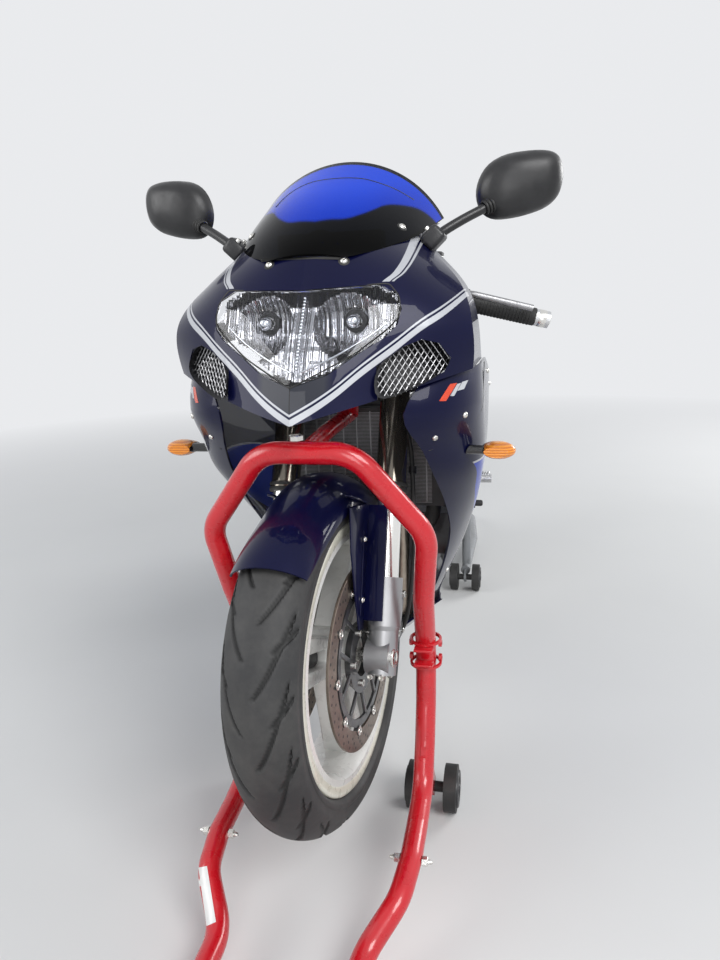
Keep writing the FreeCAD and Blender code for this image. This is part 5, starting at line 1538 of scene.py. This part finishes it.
def make_rim(name, half, thick, hub_half, matrix, body, first):
    """A cast wheel: dropped barrel with flanges, hub and three slotted spokes."""
    bead, flange, wall = 0.2163, 0.231, 0.006
    barrel = ring_about_x([(-half, flange), (-half, bead - wall - 0.006),
                           (-half + 0.014, bead - wall - 0.014),
                           (half - 0.014, bead - wall - 0.014), (half, bead - wall - 0.006),
                           (half, flange),
                           (half - wall, flange), (half - wall, bead - 0.0003),
                           (half * 0.55, bead - 0.001),
                           (half * 0.45, bead - 0.010), (-half * 0.45, bead - 0.010),
                           (-half * 0.55, bead - 0.001),
                           (-half + wall, bead - 0.0003), (-half + wall, flange), (-half, flange)], 144)
    hub = ring_about_x([(-hub_half, 0.0126), (-hub_half, 0.030), (-hub_half + 0.002, 0.034),
                        (-thick * 0.62, 0.040),
                        (-thick * 0.5, 0.046), (thick * 0.5, 0.046), (thick * 0.62, 0.040),
                        (hub_half - 0.002, 0.034),
                        (hub_half, 0.030), (hub_half, 0.0126), (-hub_half, 0.0126)], 72)
    shapes, slot_shade_blocks = [barrel, hub], []
    for index in range(3):
        turn = Matrix.Rotation(math.radians(first) + index * TURN / 3, 4, "X")
        shapes.append(placed(spoke(0.066, 0.088, thick, 0.0145, 0.062, 0.166), turn))
        # painted shade: a black block fills each through slot of the spoke, standing in for the shade seen
        # through it
        core = block((thick * 0.5, 0.031, 0.106), 0.011, 4)
        slot_shade_blocks.append(placed(core, turn @ Matrix.Translation((0, 0, 0.114))))
    add_piece(name + "_slot_shades", placed(joined(slot_shade_blocks), matrix), "black", body, 40.0)
    rim = add_piece(name + "_cast", placed(joined(shapes), matrix), "white", body, 40.0, outward=False)
    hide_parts(name)


DISC_HOLE = 0.0026


def make_disc(name, sides, face, radius, hub_face, matrix, body):
    """A floating rotor with its rings of holes drawn as black dots of painted shade, its bobbins and the
    windowed carrier.
    """
    inner, thick = radius - 0.034, 0.005
    rotors, carriers, holes = [], [], []
    for side in sides:
        turn = Matrix.Identity(4) if side > 0 else Matrix.Rotation(TURN / 2, 4, "Z")
        rotor = ring_about_x([(face, inner), (face + 0.0004, inner - 0.0004), (face + thick, inner),
                              (face + thick, radius - 0.0006),
                              (face + thick - 0.0006, radius), (face + 0.0006, radius),
                              (face, radius - 0.0006),
                              (face, inner)], 120)
        rotors.append(placed(rotor, turn))
        # painted shade: the holes are not cut; black dots on both faces stand in for the dark of the drilled
        # holes
        for row, reach in enumerate((inner + 0.012, inner + 0.0195, inner + 0.027)):
            for index in range(30):
                for out in (0.00012, -0.00012 - thick):
                    dot = bmesh.new()
                    bmesh.ops.create_circle(dot, cap_ends=True, segments=10, radius=DISC_HOLE)
                    place = Matrix.Rotation((index * 12 + row * 4) * math.pi / 180, 4,
                                            "X") @ Matrix.Translation((face + thick + out, 0, reach))
                    holes.append(placed(dot, turn @ place @ Matrix.Rotation(TURN / 4, 4, "Y")))
        hub = ring_about_x([(hub_face, 0.036), (hub_face, 0.056), (face - 0.001, 0.060),
                            (face + thick, 0.064),
                            (face + thick, 0.036), (hub_face, 0.036)], 72)
        outer = ring_about_x([(face, inner - 0.019), (face, inner - 0.006), (face + thick, inner - 0.006),
                              (face + thick, inner - 0.019), (face, inner - 0.019)], 96)
        carriers += [placed(hub, turn), placed(outer, turn)]
        for index in range(10):
            span = inner - 0.012 - 0.060
            leg = block((thick, 0.0085, span), 0.0012, 1)
            lean = Matrix.Rotation(math.radians(16 if index % 2 else -16), 4, "X")
            place = Matrix.Rotation(index * TURN / 10 + 0.3, 4, "X") @ Matrix.Translation((face + thick
                / 2, 0, 0.060 + span / 2))
            carriers.append(placed(leg, turn @ place @ lean))
            tab = turned([(0, 0.0080), (0.0085, 0.0080), (0.0085, 0), (0, 0)], 20)
            place = Matrix.Rotation(index * TURN / 10, 4, "X") @ Matrix.Translation((face - 0.0015, 0,
                inner))
            carriers.append(placed(tab, turn @ place @ Matrix.Rotation(TURN / 4, 4, "Y")))
            lug = block((thick, 0.014, 0.014), 0.002, 1)
            place = Matrix.Rotation(index * TURN / 10, 4, "X") @ Matrix.Translation((face + thick / 2, 0,
                inner - 0.007))
            carriers.append(placed(lug, turn @ place))
    rotor = add_piece(name + "_rotor", placed(joined(rotors), matrix), "brake", body, 40.0)
    add_piece(name + "_holes", placed(joined(holes), matrix), "black", body, outward=False)
    add_piece(name + "_carrier", placed(joined(carriers), matrix), "caliper", body, 40.0)
    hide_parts(name)


MIRROR_OUTLINE = [(-82, -12), (-54, 38), (20, 46), (56, 38), (63, 0), (50, -38), (-8, -56), (-64, -58)]
MIRROR_LAYERS = [
    # distance behind the middle, share of the outline
    (-31, 0.20), (-29, 0.48), (-24, 0.74), (-14, 0.91), (-4, 0.98), (8, 1.0), (8.5, 0.985), (6, 0.94),
    (6, 0.2),
]


def rounded_loop(outline, steps=6):
    """The outline with its corners cut round: points on curves that touch the middles of its sides."""
    points = []
    count = len(outline)
    for index in range(count):
        before, here, after = (Vector(outline[(index + shift) % count]) for shift in (-1, 0, 1))
        start, end = (before + here) / 2, (here + after) / 2
        for step in range(steps):
            t = step / steps
            points.append((1 - t) ** 2 * start + 2 * t * (1 - t) * here + t * t * end)
    return points


def make_mirror_shells():
    """Rounded mirror shells on their stalks."""
    outline = rounded_loop([(x * 1.06, z * 1.06) for x, z in MIRROR_OUTLINE])
    shapes = []
    for side in (1, -1):
        rows = [[Vector((x * share, back, z * share)) * MM for x, z in outline] for back,
                share in MIRROR_LAYERS]
        shell = lofted(rows, closed=True)
        bmesh.ops.holes_fill(shell, edges=[edge for edge in shell.edges if edge.is_boundary])
        placed(shell, Matrix.Diagonal((side, 1, 1, 1)))
        bmesh.ops.recalc_face_normals(shell, faces=shell.faces)
        turn = Matrix.Rotation(side * math.radians(12), 4, "Z")
        placed(shell, Matrix.Translation(Vector((side * 322, -480, 1168)) * MM) @ turn)
        shapes.append(shell)
    shells = add_piece("mirror_shells", joined(shapes), "mirror", "chassis", 50.0)
    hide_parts("mirrors")
    for side, name in ((1, "left"), (-1, "right")):
        points = [Vector((side * x, y, z)) * MM for x, y, z in
                  ((172, -550, 1076), (188, -548, 1087), (214, -532, 1103), (240, -517, 1117),
                   (292, -489, 1142))]
        hose("mirror_stalk_" + name, points, 0.0080, "mirror", "chassis", 8)


INTAKE = [(116, 888), (152, 914), (178, 923), (202, 916), (218, 892), (208, 872), (164, 852), (118, 838)]


def inside(point, outline):
    """Whether a point lies inside an outline."""
    x, z = point
    crossings = False
    for (ax, az), (bx, bz) in zip(outline, outline[1:] + outline[:1]):
        if (az > z) != (bz > z) and x < ax + (z - az) / (bz - az) * (bx - ax):
            crossings = not crossings
    return crossings


def make_intakes():
    """Woven grilles on dark duct walls behind the two mouths."""
    wires = []
    outline = [(x * MM, z * MM) for x, z in INTAKE]
    loop = [tuple(point) for point in rounded_loop(outline, 4)]

    def depth(x, z):
        spot = struck((x, -1.0, z), (0, 1, 0), "intake_meshes")
        return spot[0].y if spot else None

    plane = [(x, z, depth(x, z)) for x, z in loop]
    known = [item for item in plane if item[2] is not None]
    middle_x = sum(item[0] for item in known) / len(known)
    middle_z = sum(item[1] for item in known) / len(known)
    middle_y = sum(item[2] for item in known) / len(known)
    slope_x = (sum((i[0] - middle_x) * (i[2] - middle_y) for i in known)
               / sum((i[0] - middle_x) ** 2 for i in known))
    slope_z = (sum((i[1] - middle_z) * (i[2] - middle_y) for i in known)
               / sum((i[1] - middle_z) ** 2 for i in known))

    def sheet_y(x, z):
        return middle_y + slope_x * (x - middle_x) + slope_z * (z - middle_z) + 0.010

    for layer, lean in enumerate((30, -34)):
        way = Vector((math.sin(math.radians(lean)), math.cos(math.radians(lean))))
        across = Vector((way.y, -way.x))
        for index in range(-12, 13):
            centre = Vector((0.166, 0.884)) + across * (index * 0.0072)
            inside_steps = [step for step in range(-90, 91)
                            if inside(tuple(centre + way * (step * 0.001)), loop)]
            if len(inside_steps) < 5:
                continue
            low, high = min(inside_steps) - 3, max(inside_steps) + 3
            rows = []
            for step in range(low, high + 1, 4):
                spot = centre + way * (step * 0.001)
                weave = 0.0008 * math.sin(step * 0.001 / 0.0072 * math.pi + layer * math.pi + index
                                          * math.pi)
                ring = []
                for corner in range(4):
                    angle = corner * TURN / 4 + TURN / 8
                    side = across * (0.00080 * math.cos(angle))
                    ring.append(Vector((spot.x + side.x, sheet_y(spot.x,
                        spot.y) + weave + 0.00080 * math.sin(angle),
                                        spot.y + side.y)))
                rows.append(ring)
            wires.append(lofted(rows, closed=True))
    rows = []
    for back, grow in ((-0.008, 1.03), (0.0, 1.0), (0.012, 1.0), (0.045, 0.96)):
        rows.append([Vector((0.166 + (x - 0.166) * grow, sheet_y(x, z) - 0.010 + back,
                             0.884 + (z - 0.884) * grow))
                     for x, z in loop])
    duct = lofted(rows, closed=True)
    back = [edge for edge in duct.edges if edge.is_boundary
            and edge.verts[0].co.y > sheet_y(*edge.verts[0].co.xz) + 0.02]
    bmesh.ops.holes_fill(duct, edges=back)
    left_wires = joined(wires)
    for side, name in ((1, "left"), (-1, "right")):
        shape = left_wires.copy()
        placed(shape, Matrix.Diagonal((side, 1, 1, 1)))
        piece = add_piece("intake_weave_" + name, shape, "mesh", "chassis", 60.0)
        if side > 0:
            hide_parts("intake_meshes")
        tray = duct.copy()
        placed(tray, Matrix.Diagonal((side, 1, 1, 1)))
        add_piece("intake_duct_" + name, tray, "black", "chassis", 40.0, outward=False)
    left_wires.free()
    duct.free()


BULB = Vector((0.071, -0.742, 0.952))
BOWL = 0.054


def make_lamp():
    """The clear lens, fluted reflector bowls, bulbs, the beaded divider and the bright line low down."""
    source = NODES["headlamp"].data
    shape = bmesh.new()
    shape.from_mesh(source)
    bmesh.ops.remove_doubles(shape, verts=shape.verts, dist=1e-5)
    bmesh.ops.recalc_face_normals(shape, faces=shape.faces)
    back = [face for face in shape.faces if face.normal.y > -0.15 or face.calc_center_median().y > -0.6905]
    bmesh.ops.delete(shape, geom=back, context="FACES")
    walled(shape, 0.003)
    lens = add_piece("lamp_lens", shape, "lamp glass", "chassis", 40.0)
    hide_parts("headlamp")

    def skin(x, z):
        spot = struck((x, -1.0, z), (0, 1, 0), "headlamp")
        return spot[0].y if spot else None

    shape = bmesh.new()
    bmesh.ops.create_grid(shape, x_segments=300, y_segments=44, size=0.5)
    lost = []
    for vert in shape.verts:
        x, z = vert.co.x * 0.296, 0.866 + (vert.co.y + 0.5) * 0.138
        front = skin(x, z)
        if front is None:
            lost.append(vert)
            continue
        floor = min(front + 0.034, -0.6925)
        side = 1 if x > 0 else -1
        off = math.hypot(x - side * BULB.x, z - BULB.z)
        if off < BOWL:
            floor = max(floor, BULB.y + math.sqrt(BOWL * BOWL - off * off))
        floor = min(floor, -0.6915)
        flute = abs(math.sin((abs(x) - 0.071) * math.pi / 0.0088))
        step = 0.0012 if int((z - 0.80) / 0.019) % 2 else 0.0
        vert.co = Vector((x, floor - 0.0026 * flute - step, z))
    bmesh.ops.delete(shape, geom=lost, context="VERTS")
    bmesh.ops.recalc_face_normals(shape, faces=shape.faces)
    if sum(face.normal.y for face in shape.faces) > 0:
        bmesh.ops.reverse_faces(shape, faces=shape.faces)
    add_piece("lamp_reflector", shape, "chrome", "chassis", 25.0, outward=False)
    caps, collars, bulbs = [], [], []
    for side in (1, -1):
        place = Vector((side * BULB.x, -0.7130, BULB.z))
        cap = turned([(0, 0.010), (0.0035, 0.0094), (0.0072, 0.0074), (0.0095, 0.0040), (0.0102, 0),
                      (0.0102, -0.004)], 32)
        caps.append(placed(cap, aimed(place, (0, -1, 0))))
        stem = turned([(0.0085, -0.004), (0.0085, -0.022), (0.0060, -0.024)], 24)
        bulbs.append(placed(stem, aimed(place, (0, -1, 0))))
        collar = turned([(0.0105, 0.001), (0.0130, 0.002), (0.0175, 0.001), (0.0190, -0.002),
                         (0.0190, -0.010)], 40)
        collars.append(placed(collar, aimed(Vector((side * BULB.x, -0.6955, BULB.z)), (0, -1, 0))))
    add_piece("bulb_caps", joined(caps), "mirror glass", "chassis")
    add_piece("bulb_stems", joined(bulbs), "steel", "chassis")
    add_piece("bulb_collars", joined(collars), "black", "chassis")
    beads = []
    for index in range(22):
        z = 0.888 + index * 0.0048
        front = skin(0.0, z)
        if front is None:
            continue
        bead = bmesh.new()
        bmesh.ops.create_icosphere(bead, subdivisions=2, radius=0.0026)
        beads.append(placed(bead, Matrix.Translation((0.0, min(front + 0.026, -0.698), z))))
    add_piece("divider_beads", joined(beads), "mirror glass", "chassis")
    for side, name in ((1, "left"), (-1, "right")):
        points = []
        for x, z in ((0.008, 0.8835), (0.040, 0.896), (0.075, 0.914), (0.105, 0.932), (0.125, 0.948)):
            front = skin(x * side, z)
            points.append(Vector((x * side, min(front + 0.020, -0.699), z)))
        hose("lamp_bright_line_" + name, points, 0.0016, "mirror glass", "chassis", 2)


def make_seals():
    """The dark seal under the screen's foot and the shroud over the radiator."""
    pixels = [(262, 261), (270, 260), (280, 259.5), (290, 259.5), (300, 259), (315, 258.6), (330, 258.4),
              (344, 258.4)]
    swept_line("screen_seal", pixels, ["nose_fairing"], 0.0034, "rubber", "chassis")
    shroud = placed(block((0.300, 0.004, 0.045), 0.0015), Matrix.Translation((0, -0.3600, 0.7630)))
    add_piece("radiator_shroud", shroud, "black", "chassis")


def make_silencer():
    front, rear = Vector((-186, 345, 412)) * MM, Vector((-216, 815, 586)) * MM
    outline = [(0, 0), (30, 0), (50, 38), (52, 40), (52, 470), (54, 472), (54, 496), (46, 501), (24, 501),
               (22, 486), (0, 486)]
    can = turned([(radius * MM, along * MM) for radius, along in outline], 96)
    piece = add_piece("silencer_can", placed(can, aimed(front, rear - front)), "silencer", "chassis",
                      30.0)
    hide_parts("silencer")


# Stands


def make_stands():
    spots = []
    for side in (1, -1):
        spots.append((Vector((side * 0.183, -0.860, 0.115)), (side, 0, 0)))
        spots.append((Vector((side * 0.147, -0.860, 0.115)), (-side, 0, 0)))
    fasteners("stand_through_bolts", spots, 0.0075, 0.0095, "steel", "chassis", hex_nut)
    ends = [(place + Vector(axis) * 0.009, axis) for place, axis in spots]
    fasteners("stand_thread_ends", ends, 0.0042, 0.0080, "steel", "chassis", dome_bolt)
    plates, knobs = [], []
    for side in (1, -1):
        for height in (0.362, 0.390):
            ear = plate([(-0.016, -0.010), (0.016, -0.010), (0.018, 0.0), (0.016, 0.010),
                         (-0.016, 0.010)], 0.0045, 0.001)
            placed(ear, Matrix.Translation((side * 0.165, -0.684, height)))
            plates.append(ear)
            knobs.append((Vector((side * 0.188, -0.653, height)), (side, 0, 0)))
            knobs.append((Vector((side * 0.142, -0.653, height)), (-side, 0, 0)))
    fasteners("stand_collar_bolts", knobs, 0.0070, 0.0060, "red", "chassis", hex_nut)
    collar_rings = []
    for side in (1, -1):
        for height in (0.352, 0.397):
            ring = turned([(0.0245, -0.003), (0.0285, -0.002), (0.0285, 0.002), (0.0245, 0.003)], 40)
            collar_rings.append(placed(ring, Matrix.Translation((side * 0.165, -0.653, height))))
    add_piece("stand_collar_rings", joined(collar_rings + plates), "red", "chassis")
    for y, names in ((-0.590, "front"), (0.500, "rear")):
        reach = 0.165 if names == "front" else 0.138
        for side, word in ((1, "left"), (-1, "right")):
            caps = []
            for out in (1, -1):
                cap = turned([(0, 0.006), (0.008, 0.006), (0.010, 0.003), (0.022, 0.002), (0.024, 0.004),
                              (0.034, 0.004),
                              (0.036, 0.001), (0.036, -0.002)], 40)
                caps.append(placed(cap, aimed(Vector((side * reach + out * 0.048, y, 0.045)),
                                              (out, 0, 0))))
            body = f"{names}_rollers_{word}"
            add_piece(f"{names}_roller_caps_{word}", joined(caps), "black", body)
    laid("stand_label", [(197, 868), (207, 866), (216, 922), (205, 927)], ["front_stand"], "label",
         "chassis",
         1, 0.0004, (6, 16))
    plugs = []
    for side in (1, -1):
        cap = turned([(0, 0.004), (0.012, 0.004), (0.0165, 0.001), (0.0178, -0.004)], 32)
        plugs.append(placed(cap, aimed(Vector((side * 0.110, -1.250, 0.040)), (0.01 * side, -1, -0.05))))
    for piece in plugs:
        piece.free()
    hoop_top = [(Vector((0, -0.8100, 0.786)), (0, 0, 1))]
    fasteners("head_pin_nut", hoop_top, 0.0110, 0.0080, "steel", "chassis", hex_nut)
    grip = turned([(0.0162, 0), (0.0185, 0.004), (0.0185, 0.088), (0.0162, 0.092)], 36)
    add_piece("rear_stand_handle", placed(grip, aimed(Vector((-0.046, 1.234, 0.038)), (1, 0, 0))),
              "rubber", "chassis")


# Stage: pale floor, pale backdrop light and soft lamps

FLOOR_SIZE = 60.0
FLOOR_COLOR = (0.74, 0.74, 0.73)
HORIZON = (0.82, 0.83, 0.85)
LAMPS = [
    # name, place, aim, width, height, watts
    ("key", (3.2, -3.6, 4.2), (0.0, 0.0, 0.6), 2.6, 2.6, 190),
    ("fill", (-3.8, -2.6, 2.6), (0.0, 0.0, 0.6), 3.0, 2.4, 85),
    ("rim", (3.6, 3.2, 2.4), (0.0, 0.2, 0.7), 2.4, 1.6, 110),
    ("front strip", (0.8, -4.6, 1.6), (0.0, -0.7, 0.6), 1.2, 2.4, 36),
]
WORLD_LIGHT = (0.80, 0.85, 0.93)
WORLD_STRENGTH = 0.40


def make_floor():
    shape = bmesh.new()
    bmesh.ops.create_grid(shape, x_segments=2, y_segments=2, size=FLOOR_SIZE)
    mesh = bpy.data.meshes.new("floor")
    shape.to_mesh(mesh)
    shape.free()
    floor = bpy.data.objects.new("floor", mesh)
    bpy.context.scene.collection.objects.link(floor)
    ground = Finish("pale floor", FLOOR_COLOR, roughness=0.85)
    ground.set("Base Color", ground.blend(ground.noise(3.0), FLOOR_COLOR, (0.71, 0.71, 0.70)))
    x, y, z = ground.axes()
    away = ground.math("SQRT", ground.math("ADD", ground.math("MULTIPLY", x, x),
                                           ground.math("MULTIPLY", y, y)))
    glow = ground.nodes.new("ShaderNodeEmission")
    glow.inputs["Color"].default_value = (*HORIZON, 1)
    rays = ground.nodes.new("ShaderNodeLightPath").outputs
    path = ground.either(ground.either(rays["Is Camera Ray"], rays["Is Glossy Ray"]),
                         rays["Is Transmission Ray"])
    mix = ground.nodes.new("ShaderNodeMixShader")
    share = ground.math("MULTIPLY", ground.spread(away, 1.9, 5.5), path)
    ground.feed(mix, {0: share, 1: ground.shader.outputs[0], 2: glow.outputs[0]})
    ground.links.new(mix.outputs[0], ground.nodes["Material Output"].inputs["Surface"])
    mesh.materials.append(ground.material)


def make_lights():
    for name, place, aim, width, height, watts in LAMPS:
        light = bpy.data.lights.new(name, "AREA")
        light.shape = "RECTANGLE"
        light.size, light.size_y, light.energy = width, height, watts
        lamp = bpy.data.objects.new(name, light)
        lamp.location = place
        lamp.rotation_euler = (Vector(aim) - Vector(place)).to_track_quat("-Z", "Y").to_euler()
        bpy.context.scene.collection.objects.link(lamp)
    world = bpy.data.worlds.new("studio")
    bpy.context.scene.world = world
    world.use_nodes = True
    nodes, links = world.node_tree.nodes, world.node_tree.links
    lit = nodes["Background"]
    lit.inputs["Color"].default_value = (*WORLD_LIGHT, 1)
    lit.inputs["Strength"].default_value = WORLD_STRENGTH
    seen_sky = nodes.new("ShaderNodeBackground")
    seen_sky.inputs["Color"].default_value = (*HORIZON, 1)
    path = nodes.new("ShaderNodeLightPath")
    shown = nodes.new("ShaderNodeMath")
    shown.operation = "MAXIMUM"
    links.new(path.outputs["Is Camera Ray"], shown.inputs[0])
    links.new(path.outputs["Is Transmission Ray"], shown.inputs[1])
    mix = nodes.new("ShaderNodeMixShader")
    both = nodes.new("ShaderNodeMath")
    both.operation = "MAXIMUM"
    links.new(shown.outputs[0], both.inputs[0])
    links.new(path.outputs["Is Glossy Ray"], both.inputs[1])
    links.new(both.outputs[0], mix.inputs["Fac"])
    links.new(lit.outputs["Background"], mix.inputs[1])
    links.new(seen_sky.outputs["Background"], mix.inputs[2])
    links.new(mix.outputs["Shader"], nodes["World Output"].inputs["Surface"])


make_camera()
make_floor()
make_lights()
finish_nodes()
make_side_fairings()
make_mudguard()
make_rim("front_rim", 0.052, 0.046, 0.054, FRONT_WHEEL, "front_wheel", 95)
make_rim("rear_rim", 0.077, 0.056, 0.070, REAR_WHEEL, "rear_wheel", 88)
make_disc("front_discs", (1, -1), 0.062, 0.160, 0.054, FRONT_WHEEL, "front_wheel")
make_disc("rear_disc", (-1,), 0.084, 0.110, 0.070, REAR_WHEEL, "rear_wheel")
make_mirror_shells()
make_intakes()
make_silencer()
make_seals()
make_wheels()
make_fork()
make_brakes()
make_mudguard_details()
make_controls()
make_lamp()
make_nose_details()
make_mirrors()
make_dials()
make_body()
make_engine_details()
make_chain()
make_exhaust()
make_foot_controls()
make_stands()

bpy.context.scene.view_settings.view_transform = "Standard"
